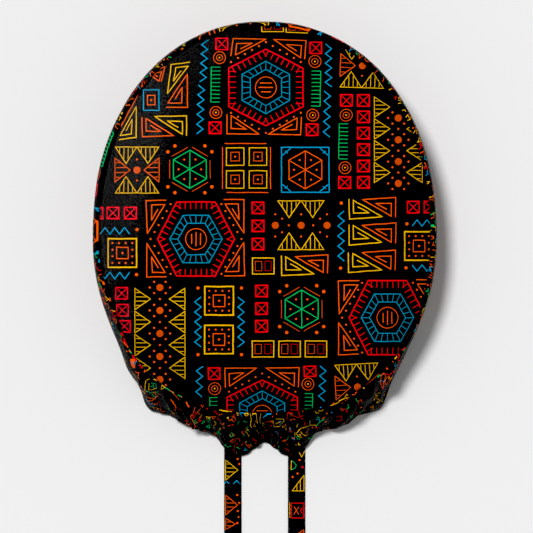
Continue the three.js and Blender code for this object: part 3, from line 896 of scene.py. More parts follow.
# The scraps that show on the creased cloth by the nape, in the photograph's pixels: ink, width and the
# points along the stroke
SCRAPS = (
    (RED, 1.5, ((121, 333), (126, 338), (124, 342), (129, 343), (131, 339), (127, 336))),
    (ORANGE, 1.2, ((120, 339), (125, 344), (129, 347))),
    (RED, 1.4, ((134, 354), (138, 358), (141, 361), (145, 359))),
    (RED, 1.2, ((141, 363), (141.5, 366), (144, 366))),
    (GREEN, 1.3, ((131, 348), (135, 353))),
    (ORANGE, 1.5, ((135, 372), (139, 373), (137.5, 376), (139.5, 379))),
    (YELLOW, 1.3, ((150, 379), (146, 380), (144.5, 387), (145, 391), (148, 392))),
    (YELLOW, 1.1, ((153, 379), (157, 380), (158, 378))),
    (YELLOW, 1.1, ((149, 383), (148.5, 390), (153, 389.5), (157, 388))),
    (GREEN, 1.3, ((151, 383), (156, 384), (156.5, 388))),
    (GREEN, 1.2, ((150.5, 387), (153, 385), (154, 388.5))),
    (GREEN, 1.3, ((146, 390.5), (150, 392.5), (158, 392))),
    (ORANGE, 1.4, ((146, 397), (150, 398.5), (155, 398), (158, 396))),
    (ORANGE, 1.1, ((148, 401), (152, 400.5), (155, 399))),
    (BLUE, 1.5, ((146.5, 399), (149, 403), (153, 405), (155, 404.5))),
    (CRIMSON, 1.1, ((159, 406), (162, 406.5))),
    (ORANGE, 1.2, ((161, 412.5), (165, 411))),
    (ORANGE, 1.4, ((171, 400), (174, 403), (176, 408), (175, 411))),
    (ORANGE, 1.2, ((170, 415), (173, 413.5), (175, 414.5))),
    (GREEN, 1.4, ((164, 382), (166, 385.5), (170, 388), (174, 391), (178, 390), (179.5, 387))),
    (GREEN, 1.3, ((174, 388), (178, 391), (180, 395), (182, 397))),
    (GREEN, 1.1, ((183, 391.5), (186, 394), (188, 396))),
    (YELLOW, 1.1, ((184, 387.5), (188.5, 389))),
    (YELLOW, 1.1, ((190, 397.5), (194, 397))),
    (RUST, 0.9, ((146, 366), (152, 371.5), (158, 377.5))),
    (ORANGE, 1.1, ((170, 390), (175, 395), (179, 399.5))),
    (ORANGE, 3.4, ((186, 402), (189, 407))),
    (ORANGE, 1.3, ((195, 407), (193.5, 412.5))),
    (ORANGE, 1.3, ((200.5, 409), (196, 414))),
    (ORANGE, 1.3, ((200, 400), (205, 401.5), (208, 401), (212, 404), (216, 405), (222, 405))),
    (YELLOW, 1.1, ((200, 418), (202, 415))),
    (GREEN, 1.0, ((208.5, 418), (206.5, 420), (208.5, 422), (210.5, 420), (208.5, 418))),
    (GREEN, 1.6, ((209.5, 425), (209.5, 429))),
    (ORANGE, 1.0, ((191, 418), (194, 423), (196, 427), (192, 427))),
    (ORANGE, 1.2, ((188.5, 420), (186, 424.5))),
    (YELLOW, 1.1, ((214, 421), (216, 424), (213.5, 426))),
    (YELLOW, 1.2, ((220, 408), (226, 409), (232, 409))),
    (ORANGE, 1.2, ((230, 409), (233.5, 407.5))),
    (RED, 1.0, ((217, 418), (220, 420.5))),
    (ORANGE, 1.2, ((220, 423), (223, 425), (224, 423))),
    (GREEN, 1.4, ((216, 433.5), (219, 431))),
    (RUST, 1.0, ((233.5, 417), (231, 419.5), (233.5, 422), (236, 419.5), (233.5, 417))),
    (GREEN, 1.1, ((231.5, 433), (229.5, 435), (231.5, 437), (233.5, 435), (231.5, 433))),
    (ORANGE, 1.2, ((230, 441.5), (234, 438.5), (239, 438.5), (240, 441))),
    (ORANGE, 1.1, ((230, 441.5), (233, 442.5), (236, 440.5))),
    (BLUE, 1.2, ((240.5, 412), (243, 410), (246, 412))),
    (BLUE, 1.2, ((240, 413), (242, 417))),
    (YELLOW, 1.3, ((237, 413), (238, 416))),
    (YELLOW, 1.4, ((246.5, 412), (244.6, 414), (246.5, 416), (248.4, 414), (246.5, 412))),
    (YELLOW, 1.4, ((250.5, 413), (251, 420), (250.5, 426), (253, 429))),
    (YELLOW, 1.2, ((252, 416), (253, 412), (256, 413.5), (256.5, 418), (257.5, 423), (255, 421))),
    (YELLOW, 1.1, ((261, 412.5), (260, 418), (260, 424))),
    (GREEN, 1.4, ((243.5, 421), (247, 422.5))),
    (YELLOW, 1.1, ((244.5, 430), (246, 427.5), (248.5, 430), (245.5, 431.5), (248, 434), (249.5, 436.5))),
    (BLUE, 1.3, ((263, 418), (266, 415), (271, 412.5))),
    (ORANGE, 1.4, ((262.5, 424), (266, 422), (272, 421), (272.5, 423))),
    (YELLOW, 1.1, ((273, 420), (274, 427), (280, 426), (284, 421), (284, 419), (276, 419))),
    (YELLOW, 1.0, ((275, 424), (281, 421.5))),
    (ORANGE, 1.5, ((276, 412), (277, 415))),
    (RED, 1.3, ((287, 419), (288, 412), (290, 411))),
    (RED, 1.2, ((291, 413), (293, 416), (298, 417.5), (303, 415.5))),
    (RED, 1.3, ((299, 412), (299.5, 416))),
    (ORANGE, 1.4, ((302, 408.5), (303, 411))),
    (ORANGE, 2.4, ((291.5, 419.5), (295, 419.5))),
    (RED, 1.2, ((304.5, 422), (304.8, 425.5))),
    (RUST, 3.0, ((289.5, 427), (289.8, 430.5), (292, 432.5))),
    (ORANGE, 1.4, ((264, 428.5), (267, 431))),
    (YELLOW, 0.9, ((255.5, 429.5), (258, 432), (260.5, 435))),
    (ORANGE, 2.2, ((292, 438.3), (295, 437.8))),
    (ORANGE, 2.6, ((282, 441.5), (286, 440.5))),
    (ORANGE, 1.2, ((286, 443), (287, 445))),
    (YELLOW, 1.3, ((296, 434), (300, 429), (304, 427.5), (310, 425.5), (316, 425))),
    (YELLOW, 1.3, ((296, 434), (299, 437), (302, 437.5))),
    (YELLOW, 1.0, ((301, 432), (303, 435), (306, 436), (309, 434))),
    (YELLOW, 1.0, ((297, 427), (298, 424))),
    (YELLOW, 1.0, ((310, 421), (310, 425))),
    (YELLOW, 1.1, ((277, 441), (277.5, 444))),
    (YELLOW, 1.1, ((297, 443), (300, 444.5))),
    (YELLOW, 1.0, ((245, 444), (246, 441))),
    (YELLOW, 1.0, ((251, 444), (252, 447))),
    (GREEN, 1.5, ((236, 447), (240, 448.5))),
    (CRIMSON, 1.1, ((261, 439), (262, 437.5), (265, 438.5))),
    (ORANGE, 1.2, ((363, 384), (370, 378.5), (379, 371))),
    (ORANGE, 1.5, ((352, 385.5), (354, 383), (358, 383.5))),
    (ORANGE, 1.1, ((357, 386), (354, 389), (356, 390), (355, 394), (352, 395))),
    (GREEN, 1.1, ((376, 375), (379, 373.5))),
    (ORANGE, 1.3, ((343, 394), (346, 395.5))),
    (ORANGE, 1.1, ((345, 401), (348, 399))),
    (YELLOW, 0.9, ((330, 405.5), (336, 403), (343, 399), (349, 397.5))),
    (ORANGE, 1.3, ((381, 376), (384, 373.5), (386, 376), (384, 382), (383, 389), (380.5, 383), (381, 376))),
    (ORANGE, 1.1, ((389, 376), (390, 380), (386, 385), (384.5, 382), (387, 377), (389, 376))),
    (RED, 1.3, ((385, 373.5), (390, 375), (394, 370.5), (395, 374))),
    (RED, 1.4, ((395, 377), (393.5, 381))),
    (ORANGE, 1.4, ((391.5, 386), (389.5, 389.5))),
    (YELLOW, 1.0, ((377, 398.5), (380, 401), (384, 401.5))),
    (YELLOW, 1.2, ((385, 395), (383, 400))),
    (YELLOW, 0.9, ((370, 408), (375, 407))),
    (YELLOW, 0.9, ((373, 405), (373, 410))),
    (RED, 1.2, ((361, 400), (358.5, 401), (359, 404))),
    (ORANGE, 1.4, ((398, 347), (395.5, 353))),
    (ORANGE, 1.4, ((390.5, 357.5), (392.5, 362))),
    (GREEN, 1.1, ((385, 362), (388, 360))),
    (RED, 1.3, ((396, 352), (399, 355), (398, 360), (401, 362), (397, 366))),
    (RED, 1.3, ((402, 350), (405, 347))),
    (YELLOW, 1.0, ((397, 356), (395, 359))),
    (CRIMSON, 1.0, ((336, 417), (341, 416), (342, 420), (337, 421))),
    (GREEN, 1.2, ((350.5, 416), (353, 419))),
    (RED, 1.3, ((355, 411), (357, 414.5))),
    (ORANGE, 1.2, ((322, 419), (325, 417))),
    (BLUE, 1.0, ((319, 404.5), (321, 407))),
    (GREEN, 0.9, ((316, 426), (321, 421), (325, 419))),
    (RED, 1.2, ((409, 350), (410.5, 347))),
    (RED, 1.3, ((411, 343), (414, 339))),
)

# Dots there: ink, radius and the centres
SCRAP_DOTS = (
    (ORANGE, 3.6, ((132.3, 362), (132.8, 365.5))),
    (ORANGE, 1.2, ((127, 351), (130.5, 351), (145, 370.5), (187, 392.5), (224, 428), (237, 444))),
    (ORANGE, 1.2, ((272.5, 416.5),)),
    (ORANGE, 1.1, ((285.5, 425), (281, 437.5), (274.5, 446), (312.5, 427.5), (340.5, 396))),
    (ORANGE, 1.1, ((336.5, 398), (333, 401), (349, 392), (385, 366.5), (402, 342.5), (381, 406))),
    (ORANGE, 1.1, ((327, 413.5), (204, 430.5))),
    (YELLOW, 1.1, ((158, 408.5), (213.5, 428), (300, 434.5), (363.5, 387), (377, 402.5))),
    (YELLOW, 1.1, ((357, 407), (325.5, 402.5))),
    (RED, 1.0, ((137, 351), (180, 409.5), (194, 417), (201, 420.5), (184, 418), (207, 408.5))),
    (RED, 1.0, ((231.5, 425),)),
    (RED, 1.1, ((271, 426), (302, 418.5), (316.5, 427.5), (342, 403), (377, 390), (406, 353.5))),
    (RED, 1.1, ((404, 360),)),
    (RED, 0.9, ((278, 433), (272, 435), (345, 423.5), (256, 443), (159, 402))),
    (BLUE, 0.9, ((331.5, 412.5),)),
)

SCRAP_WIDTH = 0.52  # the drawn strokes against the widths that they show
SCRAP_STEP = 1.5  # pixels between the points of a stroke that are looked for on the cloth
VIEW_STEP = 0.7
HEIGHT_COST = 0.01
SEEN_WITHIN = 3  # pixels
SHORTEST = 0.2
BREAK = 6  # a stroke is broken where a fold hides more of the cloth than this


def wall_view(surface, end, from_nape):
    """Points all over a wall piece's flat cloth, and for each its pixel in the photograph and a small cost
    that prefers the upper cloth where folds overlap."""
    flat = hex_grid((-end, -WALL_DEEP.max()), (end, 0), VIEW_STEP)
    flat = flat[-flat[:, 1] < wall_depth(flat, from_nape)]
    place = surface(flat)
    shown = PHOTO_SIZE / 2 + (place[:, :2] - (VIEW_X, VIEW_Y)) * (1, -1) / pixel_mm(place[:, 2])[:, None]
    return flat, shown, HEIGHT_COST * (DOME_HEIGHT + RIM[0][1] - place[:, 2])


def seen_cloth(view, pixels):
    """The flat cloth's points that show nearest to pixels, and whether each is near enough."""
    flat, shown, hidden = view
    nearest, close = [], []
    for pixel in pixels:
        away = ((shown - pixel) ** 2).sum(axis=1)
        best = int(np.argmin(away + hidden))
        nearest.append(best)
        close.append(away[best] < SEEN_WITHIN**2)
    return flat[nearest], np.array(close)


def scraps(surface, end, from_nape):
    """The charted scraps that fall on a wall piece."""
    view = wall_view(surface, end, from_nape)
    marks = []
    for ink, width, points in SCRAPS:
        flat, close = seen_cloth(view, resample(np.array(points, dtype=float), False, SCRAP_STEP))
        steps = np.linalg.norm(np.diff(flat, axis=0), axis=1)
        for i in np.flatnonzero(close[:-1] & close[1:] & (steps > SHORTEST) & (steps < BREAK)):
            marks.append(line(flat[i:i + 2], ink, width * MOTIF_MM * SCRAP_WIDTH))
    for ink, radius, centres in SCRAP_DOTS:
        flat, close = seen_cloth(view, np.array(centres, dtype=float))
        for place in flat[close]:
            marks.append(dot(*place, radius * MOTIF_MM, ink))
    return marks


def placed(marks, place):
    """The marks in millimetres of flat cloth, y up, about a place on it."""
    scale = (MOTIF_MM, -MOTIF_MM)
    return [(kind, points * scale + place, ink, width * MOTIF_MM * INK_WIDTH, closed)
            for kind, points, ink, width, closed in marks]


# Cloth meshes

STROKE_STEP = 2.0
WOBBLE = 0.22  # how far a hand-drawn line strays
UNEVEN = 0.16  # the share by which its width varies
MITRE_LIMIT = 1.7
WELD = 1e-3
HEX_ROW = 0.866  # from one row of a hexagonal grid to the next, in steps


def resample(points, closed, step):
    """The polyline with extra points, so that no step is longer than step."""
    ends = np.vstack([points, points[:1]]) if closed else points
    out = []
    for a, b in zip(ends[:-1], ends[1:]):
        count = max(1, math.ceil(np.linalg.norm(b - a) / step))
        out += [a + (b - a) * i / count for i in range(count)]
    return np.array(out if closed else out + [ends[-1]])


def stroke_polygons(points, width, closed):
    """The stroke as quads with mitred corners, drawn with a slightly unsteady hand."""
    p = resample(points, closed, STROKE_STEP)
    p = p + WOBBLE * np.column_stack([bumps(p, 7, 41), bumps(p, 7, 42)])
    ahead = np.roll(p, -1, axis=0) - p
    if not closed:
        ahead[-1] = ahead[-2]
    ahead /= np.linalg.norm(ahead, axis=1)[:, None] + 1e-9
    behind = np.roll(ahead, 1, axis=0)
    if not closed:
        behind[0] = ahead[0]
    side = np.column_stack([-(ahead + behind)[:, 1], (ahead + behind)[:, 0]])
    length = np.maximum(np.linalg.norm(side, axis=1), 1e-6)
    mitre = np.minimum(2 / length, MITRE_LIMIT)
    half = width / 2 * (1 + UNEVEN * bumps(p, 3.1, 43))
    offset = side / length[:, None] * (mitre * half)[:, None]
    left, right = p + offset, p - offset
    following = np.roll(np.arange(len(p)), -1)
    count = len(p) if closed else len(p) - 1
    return [[right[i], right[following[i]], left[following[i]], left[i]] for i in range(count)]


def polygons_of(marks):
    """(polygon, ink) for every piece of every mark, counter-clockwise."""
    out = []
    for kind, points, ink, width, closed in marks:
        shapes = [points] if kind == "dot" else stroke_polygons(points, width, closed)
        for shape in shapes:
            shape = np.array(shape)
            x, y = shape[:, 0], shape[:, 1]
            area = np.dot(x, np.roll(y, -1)) - np.dot(y, np.roll(x, -1))
            if abs(area) > 1e-3:
                out.append((shape if area > 0 else shape[::-1], ink))
    return out


def hex_grid(low, high, step):
    xs = np.arange(low[0], high[0], step)
    ys = np.arange(low[1], high[1], step * HEX_ROW)
    return np.array([(x + step / 2 * (j % 2), y) for j, y in enumerate(ys) for x in xs])


def inside_crown(points, margin):
    angle = np.degrees(np.arctan2(points[:, 0], points[:, 1]))
    reach = seam_radius(angle) * CLOTH_SHARES[np.searchsorted(SHARES, 1)]
    return np.hypot(points[:, 0], points[:, 1]) < reach - margin


def cut(outline, points, polygons):
    """Triangulates the outline with points inside it and polygons. Returns vertices, faces and, for each
    face, the number of the last polygon that it lies in, or -1."""
    vertices = [tuple(p) for p in outline] + [tuple(p) for p in points]
    faces = [list(range(len(outline)))]
    for polygon in polygons:
        faces.append(list(range(len(vertices), len(vertices) + len(polygon))))
        vertices += [tuple(p) for p in polygon]
    result = delaunay_2d_cdt([Vector(v) for v in vertices], [], faces, 1, WELD)
    bounds = [(polygon.min(axis=0), polygon.max(axis=0)) for polygon in polygons]

    def holds(number, place):
        low, high = bounds[number]
        return (low < place).all() and (high > place).all()

    kept, marks = [], []
    for face, sources in zip(result[2], result[5]):
        if 0 not in sources:
            continue
        centre = np.mean([result[0][v] for v in face], axis=0)
        around = [i - 1 for i in sources if i and holds(i - 1, centre)]
        kept.append(face)
        marks.append(max(around, default=-1))
    used = sorted({v for face in kept for v in face})
    number = {v: i for i, v in enumerate(used)}
    flat = np.array([result[0][v] for v in used])
    return flat, [[number[v] for v in face] for face in kept], marks


def border_loop(faces):
    """The border's vertices in order, the way that the faces run."""
    following = {}
    sides = set()
    for face in faces:
        for a, b in zip(face, face[1:] + face[:1]):
            sides.add((a, b))
    for a, b in sides:
        if (b, a) not in sides:
            following[a] = b
    start = next(iter(following))
    loop = [start]
    while following[loop[-1]] != start:
        loop.append(following[loop[-1]])
    if len(loop) != len(following):
        raise ValueError("the cloth's border is not one loop")
    return loop


LOWEST = 0.05  # nothing inside the cloth goes below this height
SIDE_STEP = 0.12


def outward_normals(surface, flat):
    across = surface(flat + (SIDE_STEP, 0)) - surface(flat - (SIDE_STEP, 0))
    along = surface(flat + (0, SIDE_STEP)) - surface(flat - (0, SIDE_STEP))
    normal = np.cross(across, along)
    return normal / (np.linalg.norm(normal, axis=1)[:, None] + 1e-12)


def add_piece(name, vertices, faces):
    """A mesh piece from points in the cap's own axes, in millimetres."""
    mesh = bpy.data.meshes.new(name)
    mesh.from_pydata(((np.array(vertices) + CAP_PLACE) * MM).tolist(), [], faces)
    piece = bpy.data.objects.new(name, mesh)
    bpy.context.scene.collection.objects.link(piece)
    return piece


def cloth(name, outline, surface, thickness, marks, outer_points, inner_points, mirrored=False):
    """A closed cloth piece. The print's ink is a colour on each face of the outer sheet."""
    low, high = outline.min(axis=0) - 1, outline.max(axis=0) + 1
    near = [(p, ink) for p, ink in polygons_of(marks)
            if (p.max(axis=0) > low).all() and (p.min(axis=0) < high).all()]
    flat, faces, drawn = cut(outline, outer_points, [p for p, _ in near])
    colours = [near[i][1] if i >= 0 else None for i in drawn]
    loop = border_loop(faces)
    inner_flat, inner_faces, _ = cut(flat[loop], inner_points, [])
    inner_loop = border_loop(inner_faces)
    places = surface(flat)
    side = -1 if mirrored else 1
    normals = outward_normals(surface, inner_flat) * side
    inner = surface(inner_flat) - normals * thickness(inner_flat)[:, None]
    inner[:, 2] = np.maximum(inner[:, 2], LOWEST)
    count = len(flat)
    sizes = np.linalg.norm(inner_flat[inner_loop] - flat[loop[0]], axis=1)
    shift = int(np.argmin(sizes))
    inner_loop = inner_loop[shift:] + inner_loop[:shift]
    if len(inner_loop) != len(loop):
        raise ValueError(f"{name}: the sheets' borders differ")
    all_faces = list(faces) + [[count + v for v in reversed(face)] for face in inner_faces]
    for i in range(len(loop)):
        a, b = loop[i - 1], loop[i]
        c, d = count + inner_loop[i], count + inner_loop[i - 1]
        all_faces.append([b, a, d, c])
    if mirrored:
        all_faces = [face[::-1] for face in all_faces]
    piece = add_piece(name, np.vstack([places, inner]), all_faces)
    paint(piece.data, colours)
    unwrap(piece.data, np.vstack([flat, inner_flat]), len(faces), len(inner_faces))
    piece.data.shade_smooth()
    return piece


GROUND = (0.0022, 0.0020, 0.0021)


def paint(mesh, colours):
    """Writes each printed face's ink. The alpha is 1 on ink and 0 on the ground."""
    layer = mesh.attributes.new("ink", "FLOAT_COLOR", "CORNER")
    values = np.zeros((len(mesh.loops), 4), dtype=np.float32)
    starts = np.empty(len(mesh.polygons), dtype=np.int32)
    totals = np.empty(len(mesh.polygons), dtype=np.int32)
    mesh.polygons.foreach_get("loop_start", starts)
    mesh.polygons.foreach_get("loop_total", totals)
    values[:, :3] = GROUND
    for i, colour in enumerate(colours):
        if colour:
            values[starts[i]:starts[i] + totals[i]] = (*colour, 1)
    layer.data.foreach_set("color", values.ravel())


UV_ROOM = 2.3  # two sheets of that width lie side by side in a unit square
UV_GAP = 1.08
UV_EDGE_SIZE = 0.02  # the cloth's cut edge, small and in a corner
UV_EDGE_PLACE = (0.97, 0.9)


def unwrap(mesh, flat, outer, inner):
    """Flat cloth coordinates in millimetres as cloth, and the same laid out in one sheet as OFBake."""
    corners = np.empty(len(mesh.loops), dtype=np.int32)
    mesh.loops.foreach_get("vertex_index", corners)
    vertex = mesh.attributes.new("cloth", "FLOAT_VECTOR", "POINT")
    vertex.data.foreach_set("vector", np.column_stack([flat, np.zeros(len(flat))]).astype(np.float32).ravel())
    low, high = flat.min(axis=0), flat.max(axis=0)
    wide, tall = high - low
    turned = tall < wide
    size = max(wide, tall, UV_ROOM * min(wide, tall))
    uv = (flat[corners] - low) / size
    starts = np.empty(len(mesh.polygons), dtype=np.int32)
    mesh.polygons.foreach_get("loop_start", starts)
    second = starts[outer]
    third = starts[outer + inner] if outer + inner < len(starts) else len(uv)
    shift = min(wide, tall) / size * UV_GAP
    uv[second:third] += (0, shift) if turned else (shift, 0)
    uv[third:] = uv[third:] * UV_EDGE_SIZE + (UV_EDGE_PLACE[::-1] if turned else UV_EDGE_PLACE)
    layer = mesh.uv_layers.new(name="OFBake")
    layer.data.foreach_set("uv", np.clip(uv, 0, 1).astype(np.float32).ravel())


# The crown, the band and the casing

tie_boxes = [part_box("tie_left"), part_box("tie_right")]
CAP_PLACE = np.array([
    sum(low[0] + high[0] for low, high in tie_boxes) / 4 / MM,
    tie_boxes[0][0][1] / MM + TIE_HEM_Y + TIE_LENGTH,
    0,
])

SEAM_THIN = 0.35  # the cloth's thickness where the seam presses it
OUTER_STEP = 2.3
FINE_STEP = 1.05  # where the cloth is crumpled
INNER_STEP = 3.0
CROWN_EDGE_POINTS = 480
CROWN_GAP = 0.15  # the crown stops that far inside the seam's line
CROWN_MARGINS = (1.6, 2.0)  # from its edge to the first points of the outer and the inner sheet
WALL_INNER_STEP = 2.4
BAND_EDGE_STEP = 2.0
BAND_INNER_FINE = 1.5
NAPE_EDGE_STEP = 1.2
NAPE_INNER_FINE = 1.3
SEAM_REACH = 4  # how far from the seam the cloth is pressed thin
HEM_TURN = 0.9  # the turned hem's extra thickness


def crown_thickness(flat):
    angle = np.degrees(np.arctan2(flat[:, 0], flat[:, 1]))
    share = np.interp(np.hypot(flat[:, 0], flat[:, 1]) / seam_radius(angle), CLOTH_SHARES, SHARES)
    inset = (1 - share) * seam_radius(angle)
    return SEAM_THIN + (CLOTH - SEAM_THIN) * smoothstep(inset, 0, SEAM_REACH)


def wall_depth(flat, from_nape):
    x = np.abs(flat[:, 0])
    length = WALL_LENGTHS[-1] - x if from_nape else x
    return np.interp(np.interp(length, WALL_LENGTHS, SEAM_ANGLES), SEAM_ANGLES, WALL_DEEP)


def wall_thickness(flat):
    depth = wall_depth(flat, False)
    hem = HEM_TURN * smoothstep(-flat[:, 1], depth - HEM_DEPTH, depth - HEM_DEPTH + 0.8)
    return nape_thickness(flat) + hem


def nape_thickness(flat):
    return SEAM_THIN + (CLOTH - SEAM_THIN) * smoothstep(-flat[:, 1], 0, SEAM_REACH)


def crown_outline():
    angles = np.linspace(-180, 180, CROWN_EDGE_POINTS + 1)[:-1][::-1]
    edge = 1 - CROWN_GAP / CROWN_HALF_WIDTH
    reach = seam_radius(angles) * np.interp(edge, SHARES, CLOTH_SHARES)
    return heading(angles) * reach[:, None]


def wall_outline(end, from_nape, step):
    xs = np.linspace(-end, end, round(2 * end / step) + 1)
    depth = wall_depth(np.column_stack([xs, xs * 0]), from_nape)
    top = np.column_stack([xs, np.zeros_like(xs)])
    foot = np.column_stack([xs, -depth])
    rows = round(depth[0] / step)
    side = np.linspace(0, 1, rows + 1)[1:-1]
    left = np.column_stack([np.full(rows - 1, xs[0]), -depth[0] * side])
    right = np.column_stack([np.full(rows - 1, xs[-1]), -depth[-1] * side])
    return np.vstack([foot, right[::-1], top[::-1], left])


def wall_points(end, from_nape, coarse, fine):
    """Points inside the wall's outline, closer together where the cloth is crumpled."""
    deepest = WALL_DEEP.max()
    out = []
    for step, crumpled in ((coarse, False), (fine, True)):
        grid = hex_grid((-end, -deepest), (end, 0), step)
        length = WALL_LENGTHS[-1] - np.abs(grid[:, 0]) if from_nape else np.abs(grid[:, 0])
        angle = np.interp(length, WALL_LENGTHS, SEAM_ANGLES)
        depth = wall_depth(grid, from_nape)
        margin = step * 0.5
        inside = (grid[:, 1] < -margin) & (grid[:, 1] > margin - depth) & (np.abs(grid[:, 0]) < end - margin)
        out.append(grid[inside & ((angle > CRUMPLE_FROM) == crumpled)])
    return np.vstack(out)


def outline_area(outline):
    x, y = outline[:, 0], outline[:, 1]
    return abs(np.dot(x, np.roll(y, -1)) - np.dot(y, np.roll(x, -1))) / 2


def make_crown():
    outline = crown_outline()
    low, high = outline.min(axis=0), outline.max(axis=0)
    grids = [hex_grid(low, high, step) for step in (OUTER_STEP, INNER_STEP)]
    outer, inner = [grid[inside_crown(grid, margin)] for grid, margin in zip(grids, CROWN_MARGINS)]
    piece = cloth("crown_cloth", outline, crown_surface, crown_thickness, crown_print(), outer, inner)
    outline_area(outline) * MM * MM
    return piece


def make_band():
    outline = wall_outline(BAND_END, False, BAND_EDGE_STEP)
    outer = wall_points(BAND_END, False, OUTER_STEP, FINE_STEP)
    inner = wall_points(BAND_END, False, WALL_INNER_STEP, BAND_INNER_FINE)
    marks = wall_print()
    piece = cloth("band_cloth", outline, wall_surface, wall_thickness, marks, outer, inner, mirrored=True)
    outline_area(outline) * MM * MM
    return piece


def make_nape():
    outline = wall_outline(NAPE_END, True, NAPE_EDGE_STEP)
    outer = wall_points(NAPE_END, True, OUTER_STEP, FINE_STEP)
    inner = wall_points(NAPE_END, True, WALL_INNER_STEP, NAPE_INNER_FINE)
    piece = cloth("nape_cloth", outline, nape_surface, nape_thickness, nape_print(), outer, inner)
    outline_area(outline) * MM * MM
    return piece


# The ties

TIE_MM = pixel_mm(TIE_THICKNESS)
TIE_SEW = 1.7  # how far in from its edges a tie is stitched
TIE_ROUND = 0.8
TIE_GROOVE = 0.22  # how deep the stitches press it
TIE_UNEVEN = 0.22
TIE_RUFFLE = 0.16
TIE_EDGE_HEIGHT = 0.25
TIE_INK = 0.78  # the strokes on the ties are a little finer
TIE_EDGE_STEP = 1.2
TIE_STEPS = (0.9, 1.5)  # between the points of the outer and the inner sheet


def tie_edge(flat):
    """1 over most of the tie's width, falling to 0 at its rounded edges."""
    across = np.clip(np.abs(flat[:, 0]) / (TIE_WIDTH / 2), 0, 1)
    return np.sqrt(np.maximum(1 - across**8, 0))


def tie_surface(centre):
    def surface(flat):
        from_seam = (np.abs(flat[:, 0]) - TIE_WIDTH / 2 + TIE_SEW) / 0.5
        channel = TIE_GROOVE * np.exp(-(from_seam**2))
        height = TIE_EDGE_HEIGHT + (TIE_THICKNESS - 2 * TIE_EDGE_HEIGHT) * tie_edge(flat) - channel
        height = height + TIE_UNEVEN * bumps(flat, 24, 51) + TIE_RUFFLE * bumps(flat, 4.5, 52)
        return np.column_stack([centre + flat[:, 0], flat[:, 1], height])
    return surface


def tie_thickness(flat):
    """The tie's underside lies on the surface, so its thickness is its height there."""
    return (TIE_THICKNESS - TIE_ROUND) * tie_edge(flat) + 0.15


def left_tie_motifs():
    """The marks on the left tie, their x and y in the photograph's pixels, and their turn. Below the
    photograph's edge they are a guess."""
    dots = ((237.5, 459), (239, 464), (237, 495), (239, 503), (237.5, 511), (238.5, 517), (237, 523))
    return [
        (hatched_triangle(20, 12.5, YELLOW), 225.4, 470, -90),
        ([line([(-2.5, 1), (0, -1.5), (2.5, 1)], BLUE, 2)], 226.5, 482.7),
        ([line([(-3.4, 1.6), (0, -1.8), (3.2, 1.6)], BLUE, 2.2)], 236.6, 482.3),
        (hatched_triangle(20, 12, ORANGE), 225.4, 505, -90),
        (hatched_triangle(11, 10, ORANGE, 2), 225.4, 524, -90),
        *(([dot(0, 0, 1.3, ORANGE)], x, y) for x, y in dots),
        (crossed_square(), 232.5, 541),
        (comb(26, 7), 232, 568),
        (hatched_triangle(20, 12.5, YELLOW), 225.4, 598, -90),
        (target(), 233, 620),
        (crossed_square(), 232.5, 639),
    ]


def right_tie_motifs():
    """The same for the right tie."""
    return [
        ([line([(-3, -4), (0, 2), (3, -4)], YELLOW, 1.9)], 301, 455),
        ([line([(-2.6, -4.8), (-2.6, 4.6)], YELLOW, 1.8)], 293.2, 465.3),
        ([line([(-2.6, 4.6), (1, 3), (2.6, 0), (0, -3), (-2.6, -4.8)], GREEN, 1.6)], 293.2, 465.3),
        ([dot(0, 0, 1.5, RED)], 302, 467),
        *(([dot(0, 0, 1.3, ORANGE)], x, y) for x, y in ((299, 460), (297, 473.5), (292, 477))),
        ([line([(-6, 8), (6, -8), (6, 8)], YELLOW, 1.9, True)], 297.5, 483),
        ([line([(x, 7.5), (x, -7.5 + (6 - x) * 1.3)], YELLOW, 1.5) for x in (-1.2, 2.4)], 297.5, 483),
        ([line(rectangle(12.6, 15), RED, 1.7, True)], 297, 510.5),
        ([line([(4.9, -3), (3, 0), (4.9, 3)], RED, 1.5)], 297, 510.5),
        ([line([(-2.6, -4), (2.4, 4)], ORANGE, 1.5)], 296, 510.5),
        ([line([(2.4, -4), (-2.6, 4)], ORANGE, 1.5)], 296, 510.5),
        ([line([(0, -8), (0, 8)], YELLOW, 1.6)], 289.2, 510),
        (hatched_triangle(19, 12, ORANGE), 303, 539, 90),
        (target(), 296, 560),
        (zigzag(22), 296, 580),
        (crossed_square(), 296, 602),
        (hatched_triangle(19, 12, ORANGE), 303, 624, 90),
        ([dot(0, 0, 1.5, ORANGE)], 296, 643),
    ]


# Each tie's side of the cap, its centre line in the photograph's pixels, and its motifs
TIES = {"left": (-1, 232.6, left_tie_motifs), "right": (1, 296.0, right_tie_motifs)}


def tie_print(motifs, middle):
    marks = []
    for motif, x, y, *turn in motifs:
        place = np.array([(x - middle) * TIE_MM, VIEW_Y - (y - PHOTO_SIZE / 2) * TIE_MM])
        marks += placed(moved(motif, 0, 0, *turn), place)
    return [(kind, points, ink, width * TIE_INK, closed) for kind, points, ink, width, closed in marks]


def make_tie(name, side, middle, motifs):
    top, foot = TIE_TUCK - TIE_HEM_Y, -TIE_HEM_Y - TIE_LENGTH
    half = TIE_WIDTH / 2
    corners = np.array([(-half, foot), (half, foot), (half, top), (-half, top)])
    outline = resample(corners, True, TIE_EDGE_STEP)
    grids = [hex_grid((-half, foot), (half, top), step) for step in TIE_STEPS]
    outer, inner = [
        g[(np.abs(g[:, 0]) < half - 0.2) & (g[:, 1] > foot + 0.4) & (g[:, 1] < top - 0.4)] for g in grids
    ]
    surface = tie_surface(side * TIE_SPACING / 2)
    piece = cloth(name, outline, surface, tie_thickness, tie_print(motifs(), middle), outer, inner)
    return piece


# Stitches

